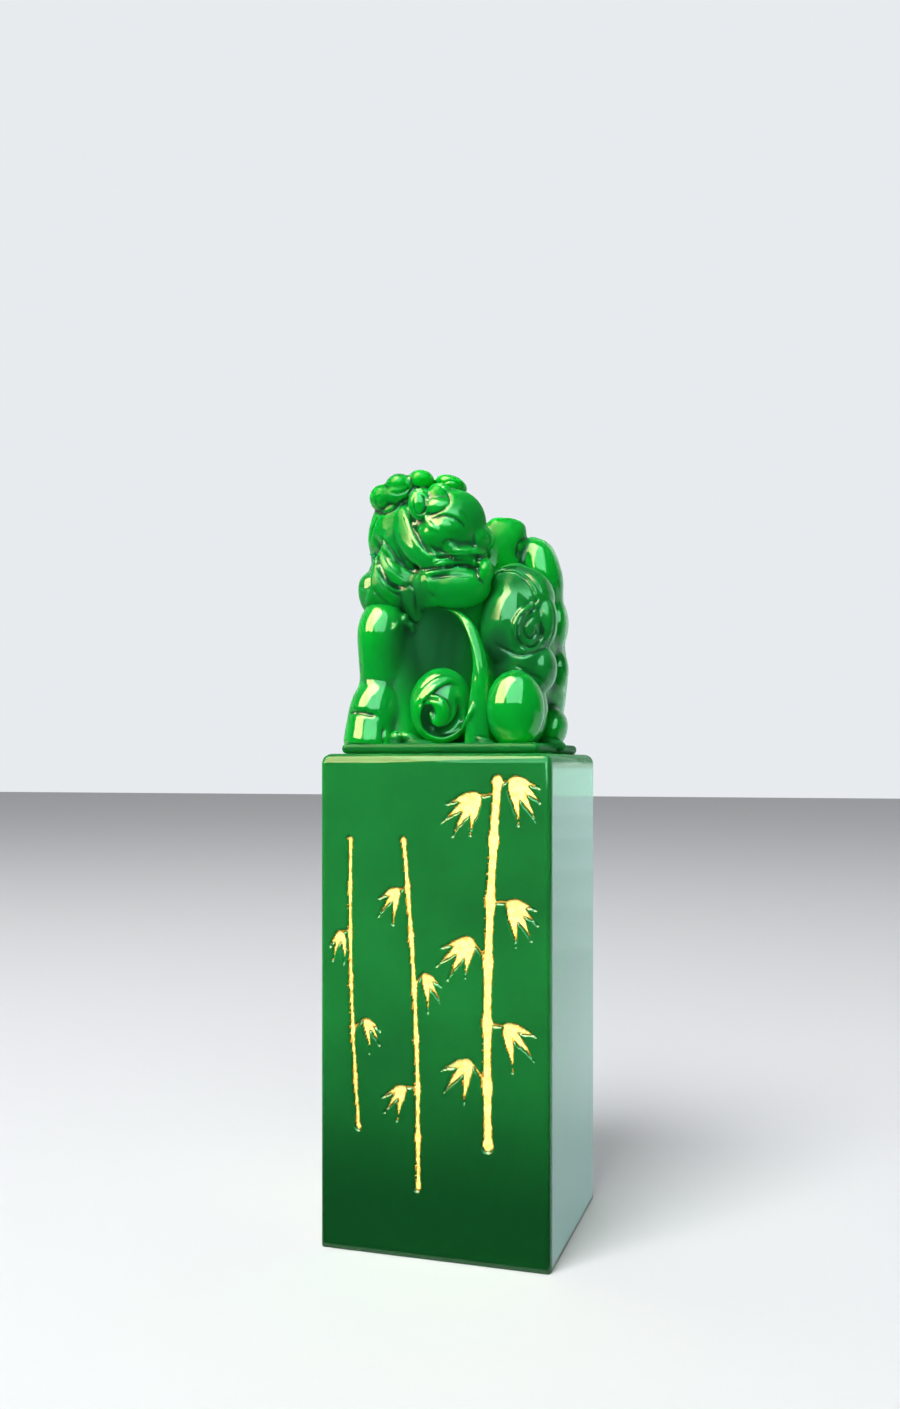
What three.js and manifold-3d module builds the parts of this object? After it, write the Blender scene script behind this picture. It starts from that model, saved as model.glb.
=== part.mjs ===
// A carved stone seal: a square column that prints with its foot, crowned by a knob carved as a
// lioness with her cub, and a gilded bamboo spray cut into the column's front face.
// Millimetres, +Z up. The origin is the middle of the printing face and the front looks along -Y.

import * as THREE from "three";
import { mergeVertices } from "three/addons/utils/BufferGeometryUtils.js";
import Module from "manifold-3d";

const wasm = await Module();
wasm.setup();

// Column
const COLUMN_SIDE = 25;
const COLUMN_HEIGHT = 52.6;
const EDGE_RADIUS = 0.7;
const SHOULDER_RADIUS = 1.3;
const SHOULDER_CORNER = 1.7;
const FOOT_CHAMFER = 0.2;

// Printing face: a border line round four square spirals, all cut into the stone
const CUT_DEPTH = 0.9;
const CUT_WIDTH = 1;
const BORDER_INSET = 1.4;
const SPIRAL_ARMS = 6;
const SPIRAL_LAND = 0.75;
const SPIRAL_MARGIN = 0.8;

// Gilding: strokes cut into the front face, with gold lying in them
const GROOVE_DEPTH = 0.45;
const GILT_THICKNESS = 0.34;
const GILT_CLEARANCE = 0.05;
const KNUCKLE_GAP = 0.42;
const KNUCKLE_OVERLAP = 0.1;
const NECK_SHARE = 0.35;
// The strokes are laid out on a face of this width and height, and follow the real one.
const LAYOUT_SIDE = 25;
const LAYOUT_HEIGHT = 52.6;

// Knob
const PLINTH_INSET = 1.7;
const PLINTH_HEIGHT = 1.1;
const PLINTH_ROUNDING = 0.45;
const PLINTH_CORNER = 1.6;
const KNOB_HEIGHT = 30.8;
const SEAM = 0.3;
const FACET = 0.16;
const SEAM_FACET = 0.12;
// The carving is laid out on a plinth of this half width, to this height, and follows the real ones.
const LAYOUT_HALF = 10.8;
const LAYOUT_RISE = 30.8;

const plinthHalf = COLUMN_SIDE / 2 - PLINTH_INSET;
const spread = plinthHalf / LAYOUT_HALF;
const rise = KNOB_HEIGHT / LAYOUT_RISE;
const faceAcross = COLUMN_SIDE / LAYOUT_SIDE;
const faceUp = COLUMN_HEIGHT / LAYOUT_HEIGHT;
const strokeScale = Math.min(faceAcross, faceUp);

const JADE = new THREE.MeshStandardMaterial({ color: 0x0b7a2c, roughness: 0.16, metalness: 0 });
const DARK_JADE = new THREE.MeshStandardMaterial({ color: 0x0a5c22, roughness: 0.14, metalness: 0 });
const GOLD = new THREE.MeshStandardMaterial({ color: 0xf3d268, roughness: 0.42, metalness: 0.8 });

// Solids and meshes

/** A closed geometry as a solid that can be joined and cut. */
function solidOf(geometry) {
  const bare = geometry.index ? geometry.toNonIndexed() : geometry.clone();
  bare.deleteAttribute("normal");
  bare.deleteAttribute("uv");
  const merged = mergeVertices(bare, 1e-4);
  return new wasm.Manifold(
    new wasm.Mesh({
      numProp: 3,
      vertProperties: merged.attributes.position.array,
      triVerts: new Uint32Array(merged.index.array),
    }),
  );
}

/** The named mesh of a solid. */
function meshOf(name, solid, material) {
  const { numProp, numVert, vertProperties, triVerts } = solid.getMesh();
  const places = new Float32Array(numVert * 3);
  for (let i = 0; i < numVert; i += 1) {
    places.set(vertProperties.subarray(i * numProp, i * numProp + 3), i * 3);
  }
  const geometry = new THREE.BufferGeometry();
  geometry.setAttribute("position", new THREE.BufferAttribute(places, 3));
  geometry.setIndex(new THREE.BufferAttribute(triVerts, 1));
  geometry.computeVertexNormals();
  const mesh = new THREE.Mesh(geometry, material);
  mesh.name = name;
  return mesh;
}

const join = (solids) => solids.reduce((whole, solid) => whole.add(solid));

/** The largest body of a solid: a neighbour's cut can leave thin chips beside it. */
function mainBody(solid) {
  return solid.decompose().reduce((a, b) => (b.volume() > a.volume() ? b : a));
}

/** A box between two corners. */
function block(low, high) {
  const size = high.map((value, i) => value - low[i]);
  const box = new THREE.BoxGeometry(...size);
  box.translate(...low.map((value, i) => value + size[i] / 2));
  return solidOf(box);
}

/** The closed skin through rings of points, each ring anticlockwise seen from the last one's side. */
function loft(rings) {
  const count = rings[0].length;
  const points = rings.flat();
  const middle = (ring) =>
    ring.reduce((sum, p) => sum.add(p), new THREE.Vector3()).divideScalar(ring.length);
  const foot = points.push(middle(rings[0])) - 1;
  const tip = points.push(middle(rings[rings.length - 1])) - 1;
  const last = (rings.length - 1) * count;
  const faces = [];
  for (let j = 0; j < count; j += 1) {
    const next = (j + 1) % count;
    faces.push(foot, next, j, tip, last + j, last + next);
    for (let row = 0; row < last; row += count) {
      faces.push(row + j, row + next, row + count + next);
      faces.push(row + j, row + count + next, row + count + j);
    }
  }
  const geometry = new THREE.BufferGeometry().setFromPoints(points);
  geometry.setIndex(faces);
  return solidOf(geometry);
}

/** A square with round corners, as points anticlockwise seen from above. */
function roundedSquare(half, radius, z, steps = 4) {
  const ring = [];
  for (let corner = 0; corner < 4; corner += 1) {
    for (let step = 0; step <= steps; step += 1) {
      const angle = (corner + step / steps) * (Math.PI / 2);
      const side = (corner + 0.5) * (Math.PI / 2);
      const reach = (half - radius) * Math.SQRT2;
      ring.push(
        new THREE.Vector3(
          Math.cos(side) * reach + Math.cos(angle) * radius,
          Math.sin(side) * reach + Math.sin(angle) * radius,
          z,
        ),
      );
    }
  }
  return ring;
}

// Carved forms. Each one is a function of how far it is grown, so that a neighbour
// can be cut back by the same form plus the seam between them.

const CARVING_SCALE = [spread, spread, rise];
const place = ([x, y, z]) => new THREE.Vector3(x * spread, y * spread, z * rise);

/** An egg: a centre, three radii and a turn in degrees about X, Y and Z. */
function egg(at, radii, turn = [0, 0, 0], around = 12) {
  return (grow) => {
    const geometry = new THREE.SphereGeometry(1, around, Math.round(around * 0.55));
    geometry.scale(...radii.map((radius, axis) => radius * CARVING_SCALE[axis] + grow));
    geometry.rotateX(turn[0] * THREE.MathUtils.DEG2RAD);
    geometry.rotateY(turn[1] * THREE.MathUtils.DEG2RAD);
    geometry.rotateZ(turn[2] * THREE.MathUtils.DEG2RAD);
    geometry.translate(...place(at).toArray());
    return solidOf(geometry);
  };
}

/**
 * A limb, lock or tail: a round or flattened section swept along a smooth path with round ends.
 * Stops are [x, y, z, radius]; out is the side that the flattened section faces.
 */
function sweep(stops, { out = [0, -1, 0], thick = 1, sides = 8, steps = 8 } = {}) {
  return (grow) => {
    const curve = new THREE.CatmullRomCurve3(stops.map(place), false, "centripetal");
    const facing = new THREE.Vector3(...out);
    const radiusAt = (t) => {
      const along = Math.min(t * (stops.length - 1), stops.length - 1 - 1e-9);
      const k = Math.floor(along);
      return THREE.MathUtils.lerp(stops[k][3], stops[k + 1][3], along - k) * spread + grow;
    };
    const ring = (t, slide, share) => {
      const along = curve.getTangent(t);
      const across = new THREE.Vector3().crossVectors(facing, along).normalize();
      const outward = new THREE.Vector3().crossVectors(along, across);
      const radius = radiusAt(t);
      const middle = curve.getPoint(t).addScaledVector(along, slide * radius);
      return Array.from({ length: sides }, (_, j) => {
        const angle = (j / sides) * Math.PI * 2;
        return middle
          .clone()
          .addScaledVector(across, Math.cos(angle) * radius * share)
          .addScaledVector(outward, Math.sin(angle) * share * (radius * thick + grow * (1 - thick)));
      });
    };
    const rings = [ring(0, -0.75, 0.6)];
    for (let i = 0; i <= steps; i += 1) rings.push(ring(i / steps, 0, 1));
    rings.push(ring(1, 0.75, 0.6));
    return loft(rings);
  };
}

// Lioness: her head is turned over her shoulder, down to the cub at the front right.

const HEAD = [-0.7, -5.5, 24.9];
const onHead = ([x, y, z]) => [HEAD[0] + x, HEAD[1] + y, HEAD[2] + z];
const mirrored = ([x, y, z, ...rest]) => [x, -y, z, ...rest];

/** The same egg on both sides of her face. */
const eggPair = (offset, radii, turn, around) => [
  egg(onHead(offset), radii, turn, around),
  egg(onHead(mirrored(offset)), radii, mirrored(turn), around),
];

/** The same ridge on both sides of her face, as [x, y, z, radius] from the head's middle. */
const ridgePair = (stops, options) =>
  [stops, stops.map(mirrored)].map((side) =>
    sweep(side.map(([x, y, z, radius]) => [...onHead([x, y, z]), radius]), options),
  );

const lionessHead = [
  egg(onHead([0.6, 0, -0.2]), [4.1, 4.3, 4.1], [0, 0, 0], 13),
  egg(onHead([-2, 0, 1.2]), [2.1, 3.3, 2.4], [0, 0, 0], 8),
  // bridge of the nose and muzzle
  egg(onHead([2.6, -0.6, -1.5]), [2.8, 2.7, 2.9], [0, 30, -8], 9),
  egg(onHead([3.5, -1.3, -3]), [2.2, 2.6, 1.75], [0, 8, -8], 9),
  // nose
  egg(onHead([5.2, -1.6, -2.4]), [0.8, 1.25, 0.8], [0, 20, -8], 8),
  // eyeballs, cheeks and whisker pads
  ...eggPair([1.9, -3.25, -0.9], [1.5, 1, 0.95], [0, 12, -20], 10),
  ...eggPair([-0.6, -2.7, -2.3], [3.1, 2.1, 2.3], [0, 12, 0], 12),
  ...eggPair([2, -3.45, -3.2], [1.35, 0.95, 1.05], [0, 0, -14], 10),
  // brows, from the ear to the bridge of the nose
  ...ridgePair(
    [
      [-0.1, -4, 1.1, 0.4],
      [1.2, -4, 0.9, 0.62],
      [2.6, -3.55, 0.6, 0.62],
      [3.8, -2.6, -0.3, 0.35],
    ],
    { sides: 5, steps: 4 },
  ),
  // upper lip
  sweep(
    [
      [-3, -8.1, 22.4, 0.35],
      [-1.6, -8.9, 21, 0.55],
      [0.8, -9.3, 20.6, 0.62],
      [3.2, -8.9, 20.7, 0.62],
      [4.9, -7.4, 20.8, 0.55],
      [5, -5.4, 20.8, 0.45],
    ],
    { sides: 5, steps: 6 },
  ),
  // ears
  ...eggPair([-0.75, -3.6, 1.25], [1, 0.6, 1.5], [0, 6, 0], 10),
];

const lionessJaw = [
  egg([2.6, -6.9, 19.2], [2.7, 2.3, 1.15], [0, -4, -12], 10),
  egg([1.3, -5.9, 17.6], [3.9, 3.3, 2.4], [0, -4, 0], 11),
  egg([-2, -5.2, 18.6], [2.6, 3.3, 2.9], [0, 0, 0], 9),
];

// Curls over her forehead and down the crown, as [x, y, z, radius]
const CROWN_CURLS = [
  [-7.6, -4.6, 28, 1.7],
  [-5.7, -5, 29, 1.55],
  [-3.7, -5.3, 29.3, 1.5],
  [-1.2, -3.4, 29, 1.75],
  [-3.9, -2.5, 28.9, 1.6],
  [-6.5, -2, 28.2, 1.7],
  [-2, -0.6, 28.3, 1.6],
  [-4.8, 0.3, 27.7, 1.7],
];
const crownCurls = [
  egg([-4.3, -2.2, 27.4], [4.2, 3.4, 2.3], [0, 0, 0], 10),
  ...CROWN_CURLS.map(([x, y, z, radius]) =>
    egg([x, y, z], [radius * 1.12, radius, radius], [0, 12, 0], 8),
  ),
];

/** A row of hair locks: the same stops, moved on by one step for each lock. */
const lockRow = (count, stops, [dx, dy, dz], options) =>
  Array.from({ length: count }, (_, row) => {
    const moved = stops.map(([x, y, z, radius]) => [x + dx * row, y + dy * row, z + dz * row, radius]);
    return sweep(moved, options);
  });

const lionessMane = [
  egg([-6.3, -2.7, 21.4], [4.5, 5, 6.7], [0, 6, 0], 13),
  egg([-7.3, -3.2, 16.9], [3.5, 4.3, 3.6], [0, 0, 0], 10),
  // locks that fall beside her jaw, front side
  ...lockRow(
    2,
    [
      [-8.4, -6.6, 21.4, 0.35],
      [-7.9, -7.6, 19.2, 1.05],
      [-6.4, -8.2, 17.2, 1.1],
      [-4.7, -8, 16, 0.4],
    ],
    [1.9, -0.3, 1.1],
    { thick: 0.6, sides: 6, steps: 4 },
  ),
  // locks down the left flank
  ...lockRow(
    4,
    [
      [-9.5, -4.6, 22.8, 0.5],
      [-10.3, -3.9, 20.2, 1.3],
      [-10.2, -3.1, 17.2, 1.2],
      [-9.3, -2.2, 14.8, 0.4],
    ],
    [0.35, 2.3, -0.2],
    { out: [-1, 0, 0], thick: 0.7, sides: 6, steps: 4 },
  ),
];

// Locks down her nape
const napeLocks = lockRow(
  4,
  [
    [-6.8, 1.4, 26.6, 0.7],
    [-6.6, 3.9, 24.8, 1.5],
    [-6.2, 5.9, 22, 1.55],
    [-5.6, 7.4, 19, 0.5],
  ],
  [2.2, 0.25, -0.1],
  { out: [0, 1, 0], thick: 0.85, sides: 6, steps: 4 },
);

const lionessBody = [
  egg([-0.4, 3, 11], [8.8, 6.9, 13], [0, 0, 0], 13),
  egg([-3.7, -1.8, 11.5], [5.7, 4.9, 11.5], [0, 0, 0], 10),
  // high back behind her head
  egg([4.3, 3.1, 21.6], [3.6, 4.2, 4.9], [0, 0, 0], 10),
  egg([2.2, 1, 21], [4.6, 4, 5.6], [0, 0, 0], 9),
  egg([6.3, 3.9, 12], [4.2, 5.1, 9], [0, 0, 0], 9),
];

// Beads of her spine, down the back
const SPINE_BEADS = 5;
const spine = Array.from({ length: SPINE_BEADS }, (_, i) => {
  const fall = i / (SPINE_BEADS - 1);
  return egg(
    [-0.6 - fall * 0.6, 9.2 + Math.sin(fall * Math.PI) * 0.9, 18.2 - fall * 11],
    [1.3, 0.9, 1.35],
    [0, 0, 0],
    8,
  );
});

// Her tail: a tuft over the near flank, and two flames behind it
const tailTuft = [
  sweep(
    [
      [6.6, 3.9, 24.4, 0.8],
      [8.2, 3, 22.6, 2],
      [8.9, 2.7, 20.2, 2.25],
      [9.3, 2.8, 17, 1.6],
      [9.4, 3, 14.6, 0.6],
    ],
    { out: [1, -0.4, 0], thick: 0.85, sides: 8, steps: 6 },
  ),
];

const tailFlames = [
  sweep(
    [
      [6.4, 6.3, 25, 0.5],
      [7.7, 7.2, 21.8, 1.7],
      [7.5, 8, 17.6, 1.5],
      [6.2, 8.9, 13.4, 1],
      [4.2, 9.9, 9.6, 0.8],
    ],
    { out: [0.6, 1, 0], thick: 0.8, sides: 7, steps: 6 },
  ),
  sweep(
    [
      [3.4, 7.2, 23.8, 0.5],
      [4.4, 8.5, 20.4, 1.5],
      [4.4, 9.3, 16.6, 1.3],
      [4.2, 9.9, 12, 1],
      [4, 10, 8, 1.1],
    ],
    { out: [0, 1, 0], thick: 0.8, sides: 7, steps: 6 },
  ),
];

/** A paw that points along -Y: a round foot with three toes. */
function paw([x, y, z], [rx, ry, rz]) {
  const toes = [-1, 0, 1].map((k) =>
    egg(
      [x + k * rx * 0.55, y - ry * (0.66 - 0.08 * Math.abs(k)), z - rz * 0.42],
      [rx * 0.38, ry * 0.42, rz * 0.52],
      [0, 0, 0],
      7,
    ),
  );
  return [egg([x, y, z], [rx, ry, rz], [0, 0, 0], 9), ...toes];
}

const foreleg = [
  sweep(
    [
      [-7.6, -4.9, 13.4, 2.2],
      [-7.65, -6.3, 11.6, 2.6],
      [-7.8, -6.5, 8, 2.55],
      [-8, -6.8, 5.6, 2.65],
    ],
    { sides: 10, steps: 4 },
  ),
  ...paw([-8.45, -7.6, 2.5], [2.4, 3, 2.45]),
];

const farHindLeg = [
  egg([-7.2, 5.4, 7], [3.5, 4.7, 6], [0, 0, 0], 10),
  ...paw([-8.2, 1.2, 2], [2.5, 3.6, 2]),
];

const nearHaunch = [egg([8.5, 5.8, 15], [2.3, 3.3, 3.8], [0, 0, 0], 9)];

const nearHindLeg = [
  egg([8.3, 5.2, 8.8], [2.45, 3.9, 3.3], [0, 0, 0], 9),
  egg([8.1, 5.4, 5.4], [1.8, 3, 1.9], [0, 0, 0], 8),
  ...paw([8.35, 4.1, 2.5], [2.4, 4.4, 2.6]),
];

// Cub: it sits up against her flank and lifts its head to her jaw.

const CUB_HEAD = [7, -5.4, 16.4];
const onCub = ([x, y, z]) => [CUB_HEAD[0] + x, CUB_HEAD[1] + y, CUB_HEAD[2] + z];
const cubHead = [
  egg(CUB_HEAD, [3, 3, 3.15], [0, 0, 0], 11),
  // muzzle and nose
  egg(onCub([-1, -1.9, -2.4]), [1.7, 1.6, 1.5], [0, -20, 0], 8),
  egg(onCub([-1.5, -3.1, -2]), [0.7, 0.6, 0.5], [0, 0, 0], 6),
  // eyeball
  egg(onCub([1.1, -2.3, -1.5]), [1, 0.8, 0.85], [0, 0, 0], 8),
  // ear
  egg(onCub([2.8, 1.4, -1.9]), [1.3, 2, 3], [0, -8, 0], 9),
];

const cubBody = [
  egg([6.9, -3.6, 8], [3.9, 4.4, 8.2], [0, 0, 0], 10),
  // shoulder
  egg([8.5, -3.9, 9.4], [2.7, 3.1, 3], [0, 0, 0], 9),
  // hair behind the head
  egg([7.2, -3.1, 16.6], [3.7, 3.3, 4.5], [0, 0, 0], 10),
];

const cubHaunch = [egg([7.7, -7.75, 4.8], [3, 2.85, 3.75], [0, 0, 0], 11)];

const cubTail = [
  sweep(
    [
      [0.3, -7.5, 15.5, 0.3],
      [2.1, -8.3, 14, 0.5],
      [3.3, -8.9, 11.5, 0.62],
      [4, -9.4, 8.3, 0.74],
      [4.1, -9.6, 5.7, 0.82],
      [3.6, -9.4, 3.3, 0.82],
      [2.4, -9.1, 1.9, 0.6],
    ],
    { sides: 6, steps: 10 },
  ),
];

// Scroll: an oval boss at the foot of her chest, with a hair curl raised on it

const SCROLL = { at: [-0.3, -6.9, 4.9], radii: [3.1, 2.9, 4.3], turns: 1.55, ridge: 0.36 };

/** The raised curl: it starts at the boss's right edge, runs under and up, and winds inwards. */
function scrollCurl() {
  const steps = 15;
  const stops = Array.from({ length: steps + 1 }, (_, i) => {
    const t = i / steps;
    const angle = -0.12 * Math.PI - t * SCROLL.turns * 2 * Math.PI;
    const reach = THREE.MathUtils.lerp(0.84, 0.12, t ** 0.85);
    const x = Math.cos(angle) * reach;
    const z = Math.sin(angle) * reach * 0.92 - 0.1 * (1 - t);
    const y = -Math.sqrt(Math.max(1 - x * x - z * z, 0));
    return [
      SCROLL.at[0] + x * SCROLL.radii[0],
      SCROLL.at[1] + y * SCROLL.radii[1],
      SCROLL.at[2] + z * SCROLL.radii[2],
      SCROLL.ridge,
    ];
  });
  return sweep(stops, { sides: 4, steps: 20 });
}
const scrollBoss = [egg(SCROLL.at, SCROLL.radii, [0, 0, 0], 11), scrollCurl()];

// Leaves and pebbles on the plinth, at the foot of the figures
const groundLeaves = [
  egg([-5.4, -8.9, 1.6], [1.1, 0.9, 1.1], [0, 20, 0], 8),
  egg([-4, -9.1, 1.5], [1.3, 0.8, 0.9], [0, -15, 0], 8),
  egg([4.7, -9.8, 1.4], [1.2, 0.8, 0.7], [0, 0, 0], 8),
];

// The knob is carved from the front inwards: each figure is cut back by those before it.

/** A slab with a rounded brim, on the column's top. */
function plinthSlab() {
  const brim = [0, 0.35, 0.75, 1].map((share) => {
    const angle = share * (Math.PI / 2);
    return roundedSquare(
      plinthHalf - PLINTH_ROUNDING * (1 - Math.cos(angle)),
      PLINTH_CORNER,
      PLINTH_HEIGHT - PLINTH_ROUNDING * (1 - Math.sin(angle)),
    );
  });
  return loft([roundedSquare(plinthHalf, PLINTH_CORNER, 0), ...brim]);
}

const FIGURES = [
  ["near_haunch", nearHaunch],
  ["near_hind_leg", nearHindLeg],
  ["far_hind_leg", farHindLeg],
  ["tail_tuft", tailTuft],
  ["tail_flames", tailFlames],
  ["lioness_body", [...lionessBody, ...spine]],
  ["cub_tail", cubTail],
  ["scroll_boss", scrollBoss],
  ["cub_haunch", cubHaunch],
  ["cub_head", cubHead],
  ["lioness_head", lionessHead],
  ["lioness_jaw", lionessJaw],
  ["crown_curls", crownCurls],
  ["lioness_foreleg", foreleg],
  ["cub_body", cubBody],
  ["lioness_mane", lionessMane],
  ["nape_locks", napeLocks],
];

function carveKnob() {
  const knob = new THREE.Group();
  knob.position.z = COLUMN_HEIGHT;
  const slab = plinthSlab().add(join(groundLeaves.map((form) => form(0))));
  knob.add(meshOf("knob_plinth", slab, JADE));
  let taken = join(groundLeaves.map((form) => form(SEAM)));
  for (const [name, forms] of FIGURES) {
    const whole = trimmed(join(forms.map((form) => form(0))));
    knob.add(meshOf(name, mainBody(whole.subtract(taken).simplify(FACET)), JADE));
    taken = taken.add(join(forms.map((form) => form(SEAM)))).simplify(SEAM_FACET);
  }
  return knob;
}

/** What stands above the plinth's top. */
function trimmed(solid) {
  const wide = COLUMN_SIDE;
  return solid.subtract(block([-wide, -wide, -wide], [wide, wide, PLINTH_HEIGHT]));
}

// Gilding: bamboo in three upright lines, as [x, z] on the front face

const onFace = ([x, z]) => [x * faceAcross, z * faceUp];

/** A flat outline, pushed into the front face from one depth to another. */
function inlay(outline, from, to) {
  const shape = new THREE.Shape(outline.map(([x, z]) => new THREE.Vector2(x, z)));
  const geometry = new THREE.ExtrudeGeometry(shape, { depth: to - from, bevelEnabled: false });
  geometry.rotateX(Math.PI / 2);
  geometry.translate(0, to - COLUMN_SIDE / 2, 0);
  return solidOf(geometry);
}

/** A bamboo leaf: it swells from its stalk and tapers to a long point. */
function leaf([x, z], degrees, length, width) {
  return (grow) => {
    const angle = degrees * THREE.MathUtils.DEG2RAD;
    const [ax, az] = [Math.sin(angle), -Math.cos(angle)];
    const at = (t, side) => {
      const along = t * (length + 2 * grow) - grow;
      const across = side * ((width / 2) * Math.sin(Math.PI * t ** 0.62) + grow);
      return [x + ax * along - az * across, z + az * along + ax * across];
    };
    const shares = [0.24, 0.6];
    const outward = shares.map((t) => at(t, 1));
    const back = shares.reverse().map((t) => at(t, -1));
    return [at(0, 0), ...outward, at(1, 0), ...back];
  };
}

/** One length of bamboo between two knuckles, flared at both ends. */
function cane([x, z], [tx, tz], width) {
  return (grow) => {
    const lean = new THREE.Vector2(tx - x, tz - z);
    const length = lean.length();
    lean.normalize();
    const at = (t, side, share) => {
      const along = t * (length + 2 * grow) - grow;
      const across = side * ((width / 2) * share + grow);
      return [x + lean.x * along - lean.y * across, z + lean.y * along + lean.x * across];
    };
    const shares = [[0, 1.2], [0.5, 0.85], [1, 1.2]];
    return [
      ...shares.map(([t, share]) => at(t, -1, share)),
      ...shares.reverse().map(([t, share]) => at(t, 1, share)),
    ];
  };
}

/** A culm: canes one above the other, each joined to the next by a narrow neck. */
function culm(from, to, count, layoutWidth, sway) {
  const width = layoutWidth * strokeScale;
  const [foot, tip] = [onFace(from), onFace(to)];
  const at = (t) => [
    THREE.MathUtils.lerp(foot[0], tip[0], t) + sway * faceAcross * Math.sin(t * Math.PI),
    THREE.MathUtils.lerp(foot[1], tip[1], t),
  ];
  const strokes = [];
  for (let i = 0; i < count; i += 1) {
    const start = at(i / count);
    const end = at((i + 1) / count);
    strokes.push(cane(start, [end[0], end[1] - KNUCKLE_GAP], width));
    if (i > 0) {
      const neckFoot = [start[0], start[1] - KNUCKLE_GAP - KNUCKLE_OVERLAP];
      const neckTop = [start[0], start[1] + KNUCKLE_OVERLAP];
      strokes.push(cane(neckFoot, neckTop, width * NECK_SHARE));
    }
  }
  return strokes;
}

/** A spray of leaves that hang from one twig, spread evenly between two directions. */
function spray(root, [first, last], lengths, width) {
  return lengths.map((length, i) => {
    const degrees = THREE.MathUtils.lerp(first, last, i / (lengths.length - 1));
    return leaf(onFace(root), degrees, length * strokeScale, width * strokeScale);
  });
}

const GILDING = [
  ["gilt_culm", culm([5.9, 12.4], [6.9, 50.2], 6, 1.25, -0.5)],
  ["gilt_slim_culm", culm([-1.6, 7.4], [-3.2, 44], 7, 0.75, 0.5)],
  ["gilt_shoot", culm([-8.2, 13.2], [-9.1, 44], 6, 0.65, -0.4)],
  ["gilt_spray_1", spray([8.2, 49.9], [10, 74], [4.8, 5.2, 4.2, 3.2], 1.15)],
  ["gilt_spray_2", spray([5, 48.3], [-74, -12], [3.6, 5, 5.2, 4.2], 1.15)],
  ["gilt_spray_3", spray([8, 37.4], [10, 76], [4.6, 4.6, 3.8, 3], 1.1)],
  ["gilt_spray_4", spray([4.3, 33.4], [-74, -10], [3.4, 4.8, 5, 4], 1.1)],
  ["gilt_spray_5", spray([7.6, 24.8], [10, 74], [4.8, 4.6, 3.6], 1.1)],
  ["gilt_spray_6", spray([4.1, 20.9], [-70, -8], [3.4, 4.6, 4.6], 1.05)],
  ["gilt_spray_7", spray([-3.7, 38.4], [-64, -8], [2.4, 3.6, 3.8], 0.85)],
  ["gilt_spray_8", spray([-1.1, 29.6], [8, 60], [4, 3.4, 2.4], 0.85)],
  ["gilt_spray_9", spray([-3, 17.8], [-62, -12], [2.8, 3.6, 3.8], 0.85)],
  ["gilt_spray_10", spray([-10.1, 33.8], [-34, 4], [2.4, 3.4, 3.6], 0.75)],
  ["gilt_spray_11", spray([-7.6, 24.6], [10, 58], [3.6, 3.2, 2.2], 0.75)],
];

const gildingSolid = (strokes, grow, from, to) =>
  join(strokes.map((stroke) => inlay(stroke(grow), from, to)));

/** The column's stone before anything is cut into it. */
function columnBlank() {
  const half = COLUMN_SIDE / 2;
  const shoulder = [0, 0.25, 0.5, 0.75, 1].map((share) => {
    const angle = share * (Math.PI / 2);
    return roundedSquare(
      half - SHOULDER_RADIUS * (1 - Math.cos(angle)),
      THREE.MathUtils.lerp(EDGE_RADIUS, SHOULDER_CORNER, 1 - Math.cos(angle)),
      COLUMN_HEIGHT - SHOULDER_RADIUS * (1 - Math.sin(angle)),
    );
  });
  return loft([
    roundedSquare(half - FOOT_CHAMFER, EDGE_RADIUS, 0),
    roundedSquare(half, EDGE_RADIUS, FOOT_CHAMFER),
    ...shoulder,
  ]);
}

/** The cuts of the printing face: a border line and a square spiral in each quarter. */
function printingCuts() {
  const outer = COLUMN_SIDE / 2 - BORDER_INSET;
  const inner = outer - CUT_WIDTH;
  const cut = (x0, y0, x1, y1) => {
    const low = [Math.min(x0, x1), Math.min(y0, y1), -CUT_DEPTH];
    const high = [Math.max(x0, x1), Math.max(y0, y1), CUT_DEPTH];
    return block(low, high);
  };
  const border = cut(-outer, -outer, outer, outer).subtract(cut(-inner, -inner, inner, inner));
  const field = inner - SPIRAL_MARGIN;
  const pitch = CUT_WIDTH + SPIRAL_LAND;
  const spiral = (sx, sy) => {
    const left = SPIRAL_MARGIN / 2;
    let low = left;
    let high = field;
    let right = field;
    const arms = [];
    for (let arm = 0; arm < SPIRAL_ARMS; arm += 1) {
      const side = arm % 4;
      if (side === 0) arms.push([left, high - CUT_WIDTH, right, high]);
      if (side === 1) arms.push([right - CUT_WIDTH, low, right, high]);
      if (side === 2) arms.push([left, low, right, low + CUT_WIDTH]);
      if (side === 3) arms.push([left, low, left + CUT_WIDTH, high - pitch]);
      if (side === 3) {
        right -= pitch;
        low += pitch;
        high -= pitch;
      }
    }
    return join(arms.map(([x0, y0, x1, y1]) => cut(x0 * sx, y0 * sy, x1 * sx, y1 * sy)));
  };
  return join([border, spiral(1, 1), spiral(-1, 1), spiral(-1, -1), spiral(1, -1)]);
}

function carveColumn() {
  const grooves = GILDING.map(([, strokes]) =>
    gildingSolid(strokes, GILT_CLEARANCE, -GROOVE_DEPTH, GROOVE_DEPTH),
  );
  return columnBlank().subtract(printingCuts()).subtract(join(grooves));
}

const seal = new THREE.Group();
seal.add(meshOf("seal_column", carveColumn(), DARK_JADE));
for (const [name, strokes] of GILDING) {
  const gold = gildingSolid(strokes, 0, GROOVE_DEPTH - GILT_THICKNESS, GROOVE_DEPTH);
  seal.add(meshOf(name, gold, GOLD));
}
seal.add(carveKnob());

export default seal;
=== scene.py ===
"""A stone seal with a carved lioness knob: the looks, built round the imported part."""

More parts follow.
